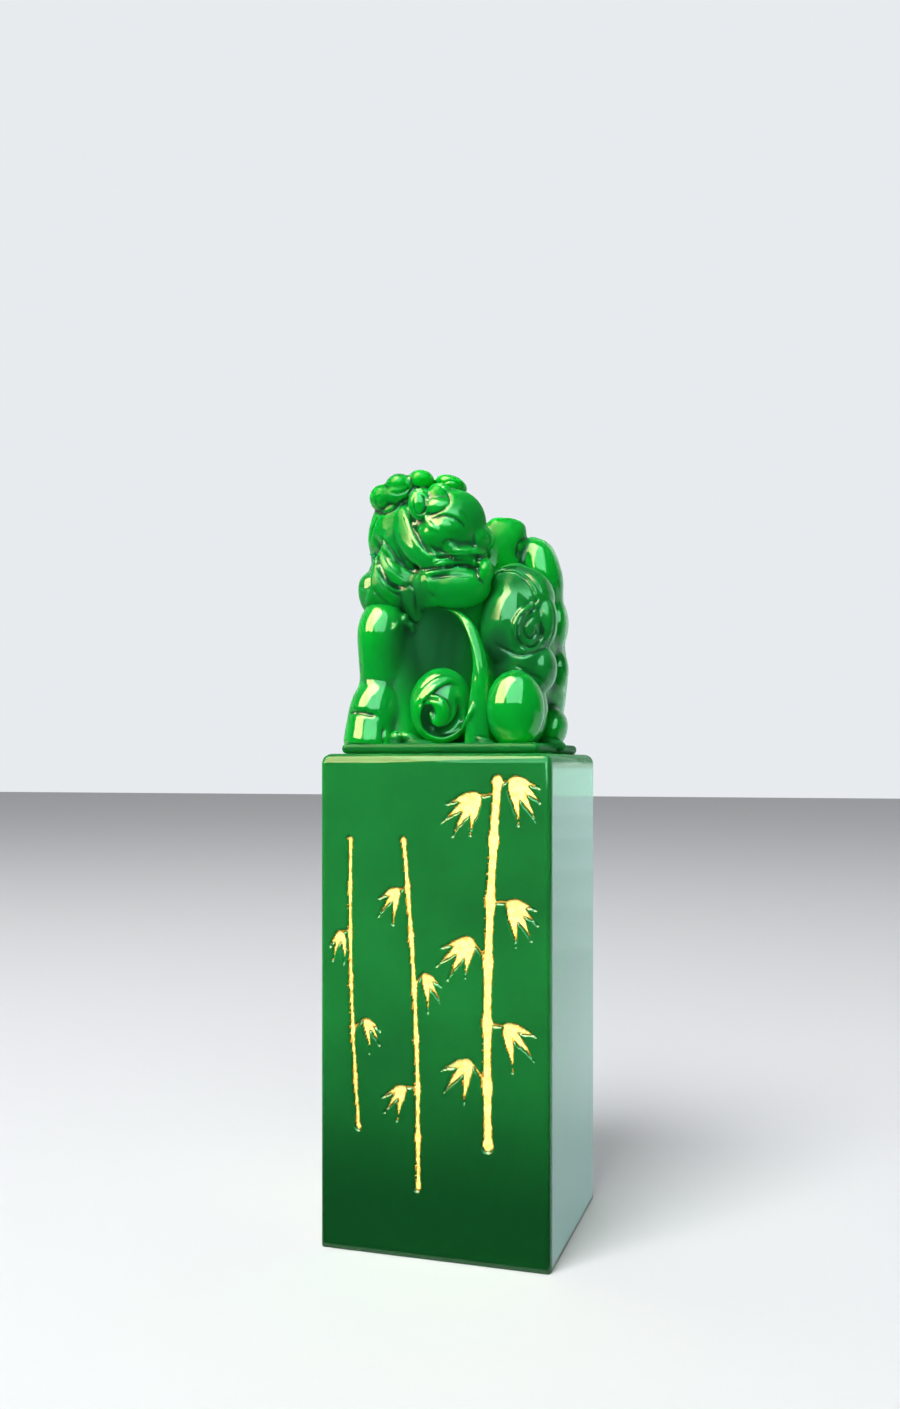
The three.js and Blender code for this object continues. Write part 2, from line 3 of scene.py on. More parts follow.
import logging
import math
from dataclasses import dataclass
from enum import Enum
from typing import Callable, Mapping, Sequence

import bpy
import numpy as np
from mathutils import Euler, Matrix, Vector, noise
from mathutils.bvhtree import BVHTree

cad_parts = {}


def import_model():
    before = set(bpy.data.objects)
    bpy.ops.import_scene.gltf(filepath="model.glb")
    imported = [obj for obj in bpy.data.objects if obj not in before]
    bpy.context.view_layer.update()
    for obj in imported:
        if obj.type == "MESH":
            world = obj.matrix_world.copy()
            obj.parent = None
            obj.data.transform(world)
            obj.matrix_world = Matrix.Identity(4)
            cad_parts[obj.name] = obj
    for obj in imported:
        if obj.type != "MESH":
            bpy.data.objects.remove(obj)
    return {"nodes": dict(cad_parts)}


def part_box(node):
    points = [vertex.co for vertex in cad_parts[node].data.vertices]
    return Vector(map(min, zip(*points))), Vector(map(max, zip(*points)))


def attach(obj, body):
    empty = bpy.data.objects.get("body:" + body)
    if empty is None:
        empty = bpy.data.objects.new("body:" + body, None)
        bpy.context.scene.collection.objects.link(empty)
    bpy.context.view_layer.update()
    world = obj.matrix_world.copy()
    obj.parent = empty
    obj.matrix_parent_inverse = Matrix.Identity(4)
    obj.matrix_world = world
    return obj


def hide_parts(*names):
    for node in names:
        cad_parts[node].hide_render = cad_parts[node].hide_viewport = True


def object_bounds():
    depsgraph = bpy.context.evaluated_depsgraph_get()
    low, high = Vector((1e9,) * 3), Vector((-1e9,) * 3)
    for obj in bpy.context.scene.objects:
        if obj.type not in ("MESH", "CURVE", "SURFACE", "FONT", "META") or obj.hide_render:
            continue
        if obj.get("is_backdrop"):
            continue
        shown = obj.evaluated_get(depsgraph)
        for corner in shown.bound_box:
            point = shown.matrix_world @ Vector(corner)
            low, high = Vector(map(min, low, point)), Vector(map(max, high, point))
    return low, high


logging.basicConfig(level=logging.INFO, format="%(message)s")
LOG = logging.getLogger("seal")

MM = 0.001
BODY = "root"

BALL_SEGMENTS = 40
BALL_RINGS = 24
ROLL_SIDES = 5
ROLL_STEPS = 10

MIRROR_DEPTH = -5.2
LINE_STEP = 0.9
STROKE_REACH = 4
STROKE_FADE = 6
STROKE_END = 0.12
STROKE_TAPER = 0.7
STEP_SLOPE = 2.6

# Painted shade in hollows and creases: the deeper a point lies below its smoothed surroundings, the
# darker its colour is painted.
HOLLOW_ROUNDS = 60
HOLLOW_DEPTH = 0.1
HOLLOW_PAINTED_SHADE = 0.95
FRONT_GAIN = 4
SHADE_FALL = 0.7
WORKED_POLISH = 1.6
WORKED_MOST = 0.85

FAR = 9.0

Point = tuple[float, float, float]
Pair = tuple[float, float]
Pixel = tuple[float, float]
Stop = tuple[float, float, float, float]


# Objects and meshes


def select(*objects: bpy.types.Object) -> None:
    """Leaves edit mode and selects these objects alone.

    Args:
        objects: the objects; the first one becomes the active one.
    """
    if bpy.context.object is not None and bpy.context.object.mode != "OBJECT":
        bpy.ops.object.mode_set(mode="OBJECT")
    bpy.ops.object.select_all(action="DESELECT")
    for obj in reversed(objects):
        obj.select_set(True)
        bpy.context.view_layer.objects.active = obj


def merge(objects: Sequence[bpy.types.Object]) -> bpy.types.Object:
    """Moves places, turns and scales into the meshes, and joins them into the first object.

    Args:
        objects: at least one mesh object.

    Returns:
        The joined object.
    """
    select(*objects)
    bpy.ops.object.transform_apply(location=True, rotation=True, scale=True)
    if len(objects) > 1:
        bpy.ops.object.join()
    return bpy.context.object


def block(at: Sequence[float], size: Sequence[float]) -> bpy.types.Object:
    """Adds a box.

    Args:
        at: its middle.
        size: its sizes along X, Y and Z.

    Returns:
        The box.
    """
    select()
    bpy.ops.mesh.primitive_cube_add(size=1, location=at)
    bpy.context.object.scale = size
    return bpy.context.object


def modify(obj: bpy.types.Object, kind: str, **settings: object) -> None:
    """Gives an object a modifier and applies it.

    Args:
        obj: the mesh object.
        kind: the modifier's type.
        settings: its settings by name.
    """
    modifier = obj.modifiers.new("change", kind)
    for name, value in settings.items():
        setattr(modifier, name, value)
    select(obj)
    bpy.ops.object.modifier_apply(modifier=modifier.name)


def rows(mesh: bpy.types.Mesh, what: str) -> np.ndarray:
    """Gives what a mesh knows of its points, as an array of rows.

    Args:
        mesh: the mesh.
        what: co for their places, or normal for their outward directions.

    Returns:
        One row of x, y and z for each point.
    """
    flat = np.empty(len(mesh.vertices) * 3)
    mesh.vertices.foreach_get(what, flat)
    return flat.reshape(-1, 3)


def move_points(mesh: bpy.types.Mesh, places: np.ndarray) -> None:
    """Moves a mesh's points.

    Args:
        mesh: the mesh.
        places: one row of x, y and z for each point.
    """
    mesh.vertices.foreach_set("co", places.ravel())
    mesh.update()


def store(mesh: bpy.types.Mesh, name: str, values: Sequence[float], domain: str = "POINT") -> None:
    """Writes one number for each point or edge into a mesh.

    Args:
        mesh: the mesh.
        name: the name that materials and modifiers know the numbers by.
        values: the numbers.
        domain: what they belong to, POINT or EDGE.
    """
    mesh.attributes.new(name, "FLOAT", domain).data.foreach_set("value", values)


def hollows(mesh: bpy.types.Mesh) -> np.ndarray:
    """Works out how far each point of a mesh lies below its surroundings.

    Args:
        mesh: the mesh.

    Returns:
        One distance for each point, above zero in a hollow.
    """
    places = rows(mesh, "co")
    ends = np.empty(len(mesh.edges) * 2, dtype=int)
    mesh.edges.foreach_get("vertices", ends)
    near, far = ends.reshape(-1, 2).T
    count = np.bincount(ends, minlength=len(places))
    level = places.copy()
    for _ in range(HOLLOW_ROUNDS):
        for line in level.T:
            total = np.bincount(near, line[far], len(line)) + np.bincount(far, line[near], len(line))
            line[:] = (line + total / count) / 2
    return ((level - places) * rows(mesh, "normal")).sum(axis=1)


# The photograph's view


@dataclass(frozen=True)
class View:
    """The camera that took the photograph, in millimetres from the middle of the printing face."""

    eye: Point = (39.445, -142.438, 51.393)
    azimuth: float = 18.4
    focal_px: float = 1310.0
    middle_px: Pixel = (397.5, 765.0)
    frame_px: Pixel = (900.0, 1409.0)
    sensor_mm: float = 36.0
    nearest_m: float = 0.005
    farthest_m: float = 10

    @property
    def right(self) -> Vector:
        """The direction to the right of the picture."""
        turn = math.radians(self.azimuth)
        return Vector((math.cos(turn), math.sin(turn), 0))

    @property
    def away(self) -> Vector:
        """The direction that the camera looks in."""
        turn = math.radians(self.azimuth)
        return Vector((-math.sin(turn), math.cos(turn), 0))

    def ray(self, pixel: Pixel) -> Vector:
        """Gives the direction in which a pixel is seen.

        Args:
            pixel: the place in the picture, from its top left corner.

        Returns:
            The direction, with a length of one along the view.
        """
        across = (pixel[0] - self.middle_px[0]) / self.focal_px
        down = (pixel[1] - self.middle_px[1]) / self.focal_px
        return self.away + self.right * across - Vector((0, 0, down))

    def point(self, pixel: Pixel, depth: float) -> Vector:
        """Gives the place of what is seen at a pixel, this far behind the column's axis."""
        reach = depth - Vector(self.eye).dot(self.away)
        return Vector(self.eye) + self.ray(pixel) * reach

    def pixels_of(self, places: np.ndarray) -> np.ndarray:
        """Gives where places are seen in the picture.

        Args:
            places: one row of x, y and z for each place, in millimetres.

        Returns:
            One row for each place: the pixel's two numbers.
        """
        offset = places - np.array(self.eye)
        reach = offset @ np.array(self.away)
        across = self.middle_px[0] + self.focal_px * (offset @ np.array(self.right)) / reach
        down = self.middle_px[1] - self.focal_px * offset[:, 2] / reach
        return np.stack([across, down], axis=1)

    def cast(
        self, pixel: Pixel, tree: BVHTree, mirrored: bool = False
    ) -> tuple[Vector | None, Vector | None]:
        """Finds what is seen at a pixel.

        Args:
            pixel: the place in the picture.
            tree: the skin that is looked at.
            mirrored: whether it is seen from behind the mirror plane.

        Returns:
            The place on the skin and its outward direction, or nothing twice.
        """
        eye, ray = Vector(self.eye), self.ray(pixel).normalized()
        if mirrored:
            eye -= self.away * 2 * (eye.dot(self.away) - MIRROR_DEPTH)
            ray -= self.away * 2 * ray.dot(self.away)
        return tree.ray_cast(eye, ray)[:2]

    def place_camera(self) -> None:
        """Sets up the scene's camera."""
        bpy.ops.object.camera_add(location=Vector(self.eye) * MM)
        camera = bpy.context.object
        camera.name = "photo_camera"
        camera.rotation_mode = "QUATERNION"
        camera.rotation_quaternion = self.away.to_track_quat("-Z", "Y")
        lens = camera.data
        longest = max(self.frame_px)
        lens.sensor_fit = "AUTO"
        lens.sensor_width = self.sensor_mm
        lens.lens = self.sensor_mm * self.focal_px / longest
        lens.shift_x = (self.frame_px[0] / 2 - self.middle_px[0]) / longest
        lens.shift_y = (self.middle_px[1] - self.frame_px[1] / 2) / longest
        lens.clip_start = self.nearest_m
        lens.clip_end = self.farthest_m
        bpy.context.scene.camera = camera


VIEW = View()


# Forms, strokes and shades


@dataclass(frozen=True)
class Egg:
    """A ball where the picture shows it: radii across, along and up the view."""

    pixel: Pixel
    depth: float
    radii: Point
    lean: float = 0
    twin: bool = False


@dataclass(frozen=True)
class Lump:
    """A ball placed above the column's top, in the seal's own axes."""

    at: Point
    radii: Point


@dataclass(frozen=True)
class Roll:
    """A tapered roll where the picture shows it: pixel, depth and radius of each stop."""

    stops: tuple[Stop, ...]
    thick: float = 1


@dataclass(frozen=True)
class Laid(Roll):
    """A roll that lies on the skin: its depths are measured outwards from the skin."""


@dataclass(frozen=True)
class Lock:
    """Tapered rolls in the seal's own axes: x, y, z and radius of each stop, and the next one's shift."""

    stops: tuple[Stop, ...]
    thick: float = 1
    out: Point = (0, -1, 0)
    count: int = 1
    step: Point = (0, 0, 0)


@dataclass(frozen=True)
class Plate:
    """A plate with rounded edges on the column's top, as wide as the plinth."""

    height: float
    rounding: float
    rounding_steps: int = 6


Forms = Mapping[str, Egg | Lump | Roll | Lock | Plate]


class Cut(Enum):
    """How a stroke changes the skin."""

    GROOVE = "groove"
    RIDGE = "ridge"
    STEP = "step"


@dataclass(frozen=True)
class Stroke:
    """A line drawn over the carving with a knife or a burr, as it is seen in the picture."""

    pixels: tuple[Pixel, ...]
    depth: float = 0.2
    width: float = 0.22
    cut: Cut = Cut.GROOVE
    twin: bool = False


@dataclass(frozen=True)
class Shade:
    """An oval of the skin with painted shade in its colour, or with a duller polish than the rest."""

    pixel: Pixel
    reach: Pixel
    tone: float = 0
    dull: float = 0
    lean: float = 0


Strokes = Mapping[str, Stroke]
Shades = Mapping[str, Shade]


class Clay:
    """Forms in millimetres that end up as one carved skin in metres."""

    def __init__(self, name: str) -> None:
        """Starts with no forms.

        Args:
            name: the finished piece's name.
        """
        self.name = name
        self.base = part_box("seal_column")[1][2] / MM
        self.forms: list[bpy.types.Object] = []
        self.worked = np.zeros(1)

    def add(self, forms: Forms) -> None:
        """Adds forms.

        Args:
            forms: the forms by name.
        """
        adders = {
            Egg: self.add_egg,
            Lump: self.add_lump,
            Roll: self.add_roll,
            Laid: self.lay_roll,
            Lock: self.add_locks,
            Plate: self.add_plate,
        }
        for form in forms.values():
            adders[type(form)](form)

    def lift(self, at: Point) -> Point:
        """Lifts a place from above the column's top to above its foot."""
        return (at[0], at[1], at[2] + self.base)

    def tree(self) -> BVHTree:
        """Gives the skin as a tree that rays can be cast at."""
        return BVHTree.FromObject(self.forms[0], bpy.context.evaluated_depsgraph_get())

    def ball(self, at: Sequence[float], radii: Point, turn: Point = (0, 0, 0)) -> None:
        """Adds a ball with three radii.

        Args:
            at: its middle.
            radii: its radii along X, Y and Z before it is turned.
            turn: its turn about X, Y and Z in degrees.
        """
        select()
        bpy.ops.mesh.primitive_uv_sphere_add(segments=BALL_SEGMENTS, ring_count=BALL_RINGS, radius=1)
        obj = bpy.context.object
        obj.location = at
        obj.rotation_euler = Euler([math.radians(angle) for angle in turn])
        obj.scale = radii
        self.forms.append(obj)

    def add_egg(self, egg: Egg) -> None:
        """Adds a ball where the picture shows it, and its twin behind the mirror plane.

        Args:
            egg: the ball.
        """
        turn = (0, egg.lean, VIEW.azimuth)
        at = VIEW.point(egg.pixel, egg.depth)
        self.ball(at, egg.radii, turn)
        if egg.twin:
            self.ball(at + VIEW.away * 2 * (MIRROR_DEPTH - egg.depth), egg.radii, turn)

    def add_lump(self, lump: Lump) -> None:
        """Adds a ball above the column's top."""
        self.ball(self.lift(lump.at), lump.radii)

    def add_plate(self, plate: Plate) -> None:
        """Adds a plate on the column's top.

        Args:
            plate: the plate.
        """
        low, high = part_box("knob_plinth")
        size = ((high[0] - low[0]) / MM, (high[1] - low[1]) / MM, plate.height)
        obj = merge([block(self.lift((0, 0, plate.height / 2)), size)])
        modify(obj, "BEVEL", width=plate.rounding, segments=plate.rounding_steps)
        self.forms.append(obj)

    def add_roll(self, roll: Roll) -> None:
        """Adds a roll where the picture shows it."""
        placed = [(*VIEW.point((px, py), depth), radius) for px, py, depth, radius in roll.stops]
        self.tube(placed, roll.thick, tuple(-VIEW.away))

    def lay_roll(self, roll: Laid) -> None:
        """Adds a roll on the skin, where the picture shows it.

        Args:
            roll: the roll.
        """
        tree = self.tree()
        placed = []
        for px, py, depth, radius in roll.stops:
            hit, normal = VIEW.cast((px, py), tree)
            if hit is None:
                LOG.info("a roll of %s misses the stone at %s, %s", self.name, px, py)
            else:
                placed.append((*(hit + normal * depth), radius))
        self.tube(placed, roll.thick, tuple(-VIEW.away))

    def add_locks(self, lock: Lock) -> None:
        """Adds a row of locks.

        Args:
            lock: the first lock, their number and their step.
        """
        for row in range(lock.count):
            shift = Vector(lock.step) * row
            placed = [(*(Vector(self.lift(stop[:3])) + shift), stop[3]) for stop in lock.stops]
            self.tube(placed, lock.thick, lock.out)

    def tube(self, stops: Sequence[Stop], thick: float, out: Point) -> None:
        """Adds a tapered tube along a smooth line.

        Args:
            stops: x, y, z and radius of each stop.
            thick: its thickness along out as a share of its width.
            out: the direction in which it is flattened.
        """
        flat = Vector(out).normalized()
        curve = bpy.data.curves.new("roll", "CURVE")
        curve.dimensions = "3D"
        curve.bevel_depth = 1
        curve.bevel_resolution = ROLL_SIDES
        curve.resolution_u = ROLL_STEPS
        curve.use_fill_caps = True
        spline = curve.splines.new("BEZIER")
        spline.bezier_points.add(len(stops) - 1)
        for knot, (x, y, z, radius) in zip(spline.bezier_points, stops):
            at = Vector((x, y, z))
            knot.co = at + flat * at.dot(flat) * (1 / thick - 1)
            knot.radius = radius
            knot.handle_left_type = knot.handle_right_type = "AUTO"
        obj = bpy.data.objects.new("roll", curve)
        bpy.context.collection.objects.link(obj)
        select(obj)
        bpy.ops.object.convert(target="MESH")
        obj = bpy.context.object
        places, side = rows(obj.data, "co"), np.array(flat)
        places += np.outer(places @ side, side) * (thick - 1)
        move_points(obj.data, places)
        self.forms.append(obj)

    def fuse(self, grain: float, rounds: int, strength: float) -> None:
        """Presses all forms into one skin and smooths it.

        Args:
            grain: the skin's mesh size.
            rounds: how many times it is smoothed.
            strength: how far each smoothing goes.
        """
        whole = merge(self.forms)
        modify(whole, "REMESH", mode="VOXEL", voxel_size=grain)
        modify(whole, "SMOOTH", factor=strength, iterations=rounds)
        self.forms = [whole]

    def carve(self, strokes: Strokes) -> None:
        """Cuts strokes into the skin, or raises them from it.

        Args:
            strokes: the strokes by name.
        """
        mesh = self.forms[0].data
        tree = self.tree()
        places, outward = rows(mesh, "co"), rows(mesh, "normal")
        shift = np.zeros(len(places))
        self.worked = np.zeros(len(places))
        for name, stroke in strokes.items():
            path = smooth_line(stroke.pixels)
            for mirrored in (False, True) if stroke.twin else (False,):
                hits = [VIEW.cast(pixel, tree, mirrored)[0] for pixel in path]
                line = np.array([hit for hit in hits if hit is not None])
                if len(line) < 2:
                    LOG.info("the stroke %s misses %s", name, self.name)
                    continue
                moved = stroke_shift(stroke, -1 if mirrored else 1, line, places, outward)
                shift += moved
                self.worked = np.maximum(self.worked, abs(moved) / stroke.depth)
        move_points(mesh, places + outward * shift[:, None])

    def finish(self, shades: Shades) -> bpy.types.Object:
        """Turns the skin into the finished piece, in metres.

        Args:
            shades: its ovals of painted shade and of duller polish, by name.

        Returns:
            The piece.
        """
        piece = self.forms[0]
        piece.name = piece.data.name = self.name
        places = rows(piece.data, "co")
        pixels = VIEW.pixels_of(places)
        # The ovals' painted shade and dullness only fall on skin that turns towards the camera's side.
        front = np.clip(rows(piece.data, "normal") @ np.array(-VIEW.away) * FRONT_GAIN, 0, 1)
        # Painted shade: hollows and creases are darkened by how deep they lie.
        tone = np.clip(hollows(piece.data) / HOLLOW_DEPTH, 0, HOLLOW_PAINTED_SHADE)
        dull = np.zeros(len(places))
        for shade in shades.values():
            turn = math.radians(shade.lean)
            right, low = (pixels - np.array(shade.pixel)).T
            across = right * math.cos(turn) + low * math.sin(turn)
            down = low * math.cos(turn) - right * math.sin(turn)
            far = (across / shade.reach[0]) ** 2 + (down / shade.reach[1]) ** 2
            share = np.exp(-(far**2) * SHADE_FALL) * front
            # Painted shade from each oval darkens the colour there.
            tone = np.maximum(tone, shade.tone * share)
            dull = np.maximum(dull, shade.dull * share)
        dull *= 1 - np.clip(self.worked * WORKED_POLISH, 0, WORKED_MOST)
        # The painted shade is stored on the mesh; the material darkens the colour by it.
        store(piece.data, "tone", tone)
        store(piece.data, "dull", dull)
        move_points(piece.data, places * MM)
        select(piece)
        bpy.ops.object.shade_smooth()
        return piece


def smooth_line(pixels: Sequence[Pixel]) -> list[Pixel]:
    """Draws an even, smooth line through pixels.

    Args:
        pixels: the stops.

    Returns:
        The points on the line.
    """
    stops = np.array(pixels, dtype=float)
    ends = np.vstack([2 * stops[0] - stops[1], stops, 2 * stops[-1] - stops[-2]])
    line = []
    for a, b, c, d in zip(ends, ends[1:], ends[2:], ends[3:]):
        count = max(int(np.linalg.norm(c - b) / LINE_STEP), 1)
        for t in np.arange(count) / count:
            bend = (2 * a - 5 * b + 4 * c - d) * t**2
            twist = (3 * b - a - 3 * c + d) * t**3
            line.append((2 * b + (c - a) * t + bend + twist) / 2)
    return [tuple(point) for point in (*line, stops[-1])]


def stroke_shift(
    stroke: Stroke, side: int, line: np.ndarray, places: np.ndarray, outward: np.ndarray
) -> np.ndarray:
    """Works out how far a stroke moves each point of the skin along its normal.

    Args:
        stroke: the stroke.
        side: the side on which a step falls away slowly, 1 for the right of its run.
        line: its points on the skin.
        places: the skin's points.
        outward: the skin's normals.

    Returns:
        One distance for each point of the skin.
    """
    reach = stroke.width * STROKE_REACH
    low, high = line.min(axis=0) - reach, line.max(axis=0) + reach
    near = np.nonzero(((places > low) & (places < high)).all(axis=1))[0]
    shift = np.zeros(len(places))
    if not len(near):
        return shift
    gaps = places[near, None, :] - line[None, :, :]
    square = (gaps**2).sum(axis=2)
    closest = square.argmin(axis=1)
    each = np.arange(len(near))
    distance = np.sqrt(square[each, closest])
    along = closest / (len(line) - 1)
    fade = np.clip(np.minimum(along, 1 - along) * STROKE_FADE, STROKE_END, 1) ** STROKE_TAPER
    profile = np.exp(-((distance / stroke.width) ** 2))
    if stroke.cut is Cut.STEP:
        beside = np.cross(np.gradient(line, axis=0)[closest], outward[near])
        hand = np.sign((beside * gaps[each, closest]).sum(axis=1)) * side
        slow = np.exp(-((distance / (stroke.width * STEP_SLOPE)) ** 2))
        profile = np.where(hand > 0, slow, profile)
    sign = 1 if stroke.cut is Cut.RIDGE else -1
    shift[near] = sign * stroke.depth * profile * fade
    return shift


# The lioness's body and legs

BODY_MASSES: Forms = {
    "trunk": Lump((-0.4, 3, 11), (8.8, 6.9, 13)),
    "chest": Lump((-3.5, 0.2, 10.5), (5.8, 4.6, 11)),
    "shoulders": Lump((2.2, 1, 20.5), (4.4, 4, 5.4)),
    "flank": Lump((6, 2.6, 12), (4.2, 5.6, 9)),
    "wall right": Roll(((470, 585, -2.9, 2.9), (466, 630, -2.3, 2.9), (452, 720, -1.2, 2.9))),
    "wall left": Roll(((440, 590, -2.9, 2.6), (434, 650, -2.2, 2.6), (430, 720, -1.4, 2.6))),
    "wall middle": Roll(((455, 588, -2.7, 2.9), (450, 640, -2.0, 3.0), (441, 720, -1.1, 3.0))),
    "upper back": Egg((507, 541), -0.6, (2.2, 2.4, 2.65)),
    "upper back shoulder": Egg((497, 535), -0.6, (1.5, 1.8, 2.05)),
    "upper back top": Egg((514, 531), -0.4, (1.45, 1.8, 1.3)),
    "under the back": Egg((508, 566), 0.6, (2.6, 2.6, 2.6)),
    "long lobe": Egg((541.5, 576), -0.5, (2.35, 2.5, 4.3), -14),
    "long lobe foot": Egg((551, 600), 0.3, (1.4, 2.4, 2.6)),
    "right lobe": Egg((557, 625), 0.8, (1.15, 3, 2.9)),
    "lower right lobe": Egg((559, 671), 0.8, (1.05, 2.8, 2.4)),
    "hind paw": Egg((551, 730), -0.8, (1.8, 3.6, 2.4), 20),
    "flank foot": Lump((7.6, 5.2, 9), (3, 4.3, 8.4)),
    "foreleg": Roll(
        ((385, 612, -2.4, 2.2), (381, 631, -4.3, 2.65), (381.5, 655, -4.0, 2.6), (382, 682, -3.5, 2.5),
        (380, 696, -3.7, 2.7), (376, 708, -4.3, 2.9), (373, 724, -4.4, 2.95), (371, 748, -4.6, 3.2))),
    "stone beside the foreleg": Roll(
        ((400, 622, -1.8, 2.0), (400, 660, -2.9, 2.3), (401, 700, -3.4, 2.6), (403, 745, -3.8, 2.9))),
    "far haunch": Lump((-7.2, 5.4, 7), (3.5, 4.7, 6)),
    "far paw": Lump((-8.2, 1.2, 2.2), (2.5, 3.6, 2)),
    "near haunch": Lump((8.2, 5.8, 15), (2.5, 3.3, 3.8)),
    "near hind leg": Lump((8.2, 5.2, 8.8), (2.5, 3.9, 3.6)),
    "near hind paw": Lump((8.3, 4.1, 2.9), (2.4, 4.4, 2.6)),
}

BODY_DETAILS: Forms = {
    "toe": Egg((391, 738), -5.6, (0.85, 0.9, 0.95)),
    "first tuft": Egg((404.5, 620), -4.1, (0.5, 1.3, 0.75)),
    "second tuft": Egg((395, 628), -5.9, (0.32, 1.0, 0.85), 25),
    "third tuft": Egg((411, 627), -3.6, (0.4, 1.3, 0.7), -20),
    "tail tuft": Lock(
        ((6.6, 3.9, 24.2, 0.8), (8.0, 3, 22.4, 1.9), (8.7, 2.7, 20, 2.15), (9.1, 2.8, 17, 1.6),
        (9.2, 3, 14.6, 0.6)), 0.85, (1, -0.4, 0)),
    "tail flame": Lock(
        ((6.4, 6.3, 25, 0.5), (7.7, 7.2, 21.8, 1.7), (7.5, 8, 17.6, 1.5), (6.2, 8.9, 13.4, 1),
        (4.2, 9.6, 9.2, 0.25)), 0.8, (0.6, 1, 0)),
    "inner tail flame": Lock(
        ((3.4, 7.2, 23.8, 0.5), (4.4, 8.5, 20.4, 1.5), (4.4, 9.3, 16.6, 1.3), (4.2, 9.7, 11.6, 0.9),
        (3.6, 9.5, 7.4, 0.25)), 0.8, (0, 1, 0)),
    "spine 1": Lump((-0.6, 9.2, 18.2), (1.3, 0.9, 1.35)),
    "spine 2": Lump((-0.75, 9.84, 15.45), (1.3, 0.9, 1.35)),
    "spine 3": Lump((-0.9, 10.1, 12.7), (1.3, 0.9, 1.35)),
    "spine 4": Lump((-1.05, 9.84, 9.95), (1.3, 0.9, 1.35)),
    "spine 5": Lump((-1.2, 9.2, 7.2), (1.3, 0.9, 1.35)),
}

BODY_STROKES: Strokes = {
    "between the back's lobes": Stroke(((529, 536), (522, 540), (518, 547), (517, 557)), 0.3, 0.22),
    "inner edge of the long lobe": Stroke(((519, 562), (530, 572), (540, 588), (548, 603)), 0.25, 0.2),
    "ankle": Stroke(((347, 712), (361, 712.5), (376, 716)), 0.5, 0.25),
    "toes": Stroke(((384, 727), (383, 736), (385, 747)), 0.3, 0.2),
}

# The third number of each oval is painted shade: the recess behind the lioness, the side of the foreleg,
# and the lobes on the right edge turned away from the lamps. The fourth is duller polish.
BODY_SHADES: Shades = {
    "recess": Shade((434, 650), (42, 54), 1.0, 1.0),
    "upper back": Shade((507, 538), (25, 26), 0.25, 0.97),
    "long lobe's edge": Shade((561, 610), (8, 50), 0.25, 0),
    "lower right": Shade((560, 690), (12, 60), 0.25, 0.2),
    "beside the foreleg": Shade((407, 690), (17, 75), 0, 1.0),
}


# The lioness's head, mane and locks

HEAD_MASSES: Forms = {
    "skull": Egg((452, 524), -5.2, (3.75, 4.1, 3.75)),
    "muzzle": Egg((475, 540), -5.4, (1.95, 2.7, 1.65)),
    "nose": Egg((486, 539), -5.6, (0.95, 1.6, 1.3), -12),
    "cheek": Egg((440, 537), -5.5, (3.0, 3.55, 2.3)),
    "upper lip": Egg((461, 556), -5.5, (2.95, 3.4, 1.0)),
    "chin": Egg((458, 588), -5.6, (3.65, 3.35, 2.35)),
    "lip end": Egg((484.5, 571.5), -6.3, (1.05, 2.2, 1.45)),
    "jaw": Egg((432, 586), -5.2, (2.3, 3.1, 2.35)),
    "ear root": Egg((426, 508), -4.6, (1.9, 2.7, 2.2)),
    "jaw band": Roll(
        ((403, 510, -4.8, 0.9), (405, 525, -5.5, 1.2), (409.5, 540, -6.2, 1.4), (419, 553, -6.95, 1.3),
        (432, 560, -7.6, 1.0), (446, 564, -7.7, 0.6))),
    "throat": Roll(
        ((404, 566, -4.4, 1.4), (411, 590, -4.6, 1.35), (416, 608, -4.0, 1.2), (419, 619, -3.2, 1.0))),
    "neck": Egg((403, 545), -1.6, (3.95, 4.4, 6.3)),
    "neck back": Lump((-5.6, -1.6, 21.6), (4.6, 4.9, 6.6)),
    "lower mane": Egg((384.5, 590), -2.0, (2.95, 4.0, 3.6)),
    "mane back": Lump((-7.3, -2.6, 16.9), (3.4, 4.0, 3.6)),
    "crown": Lump((-4.3, -2.2, 26.8), (4.2, 3.6, 2.4)),
}

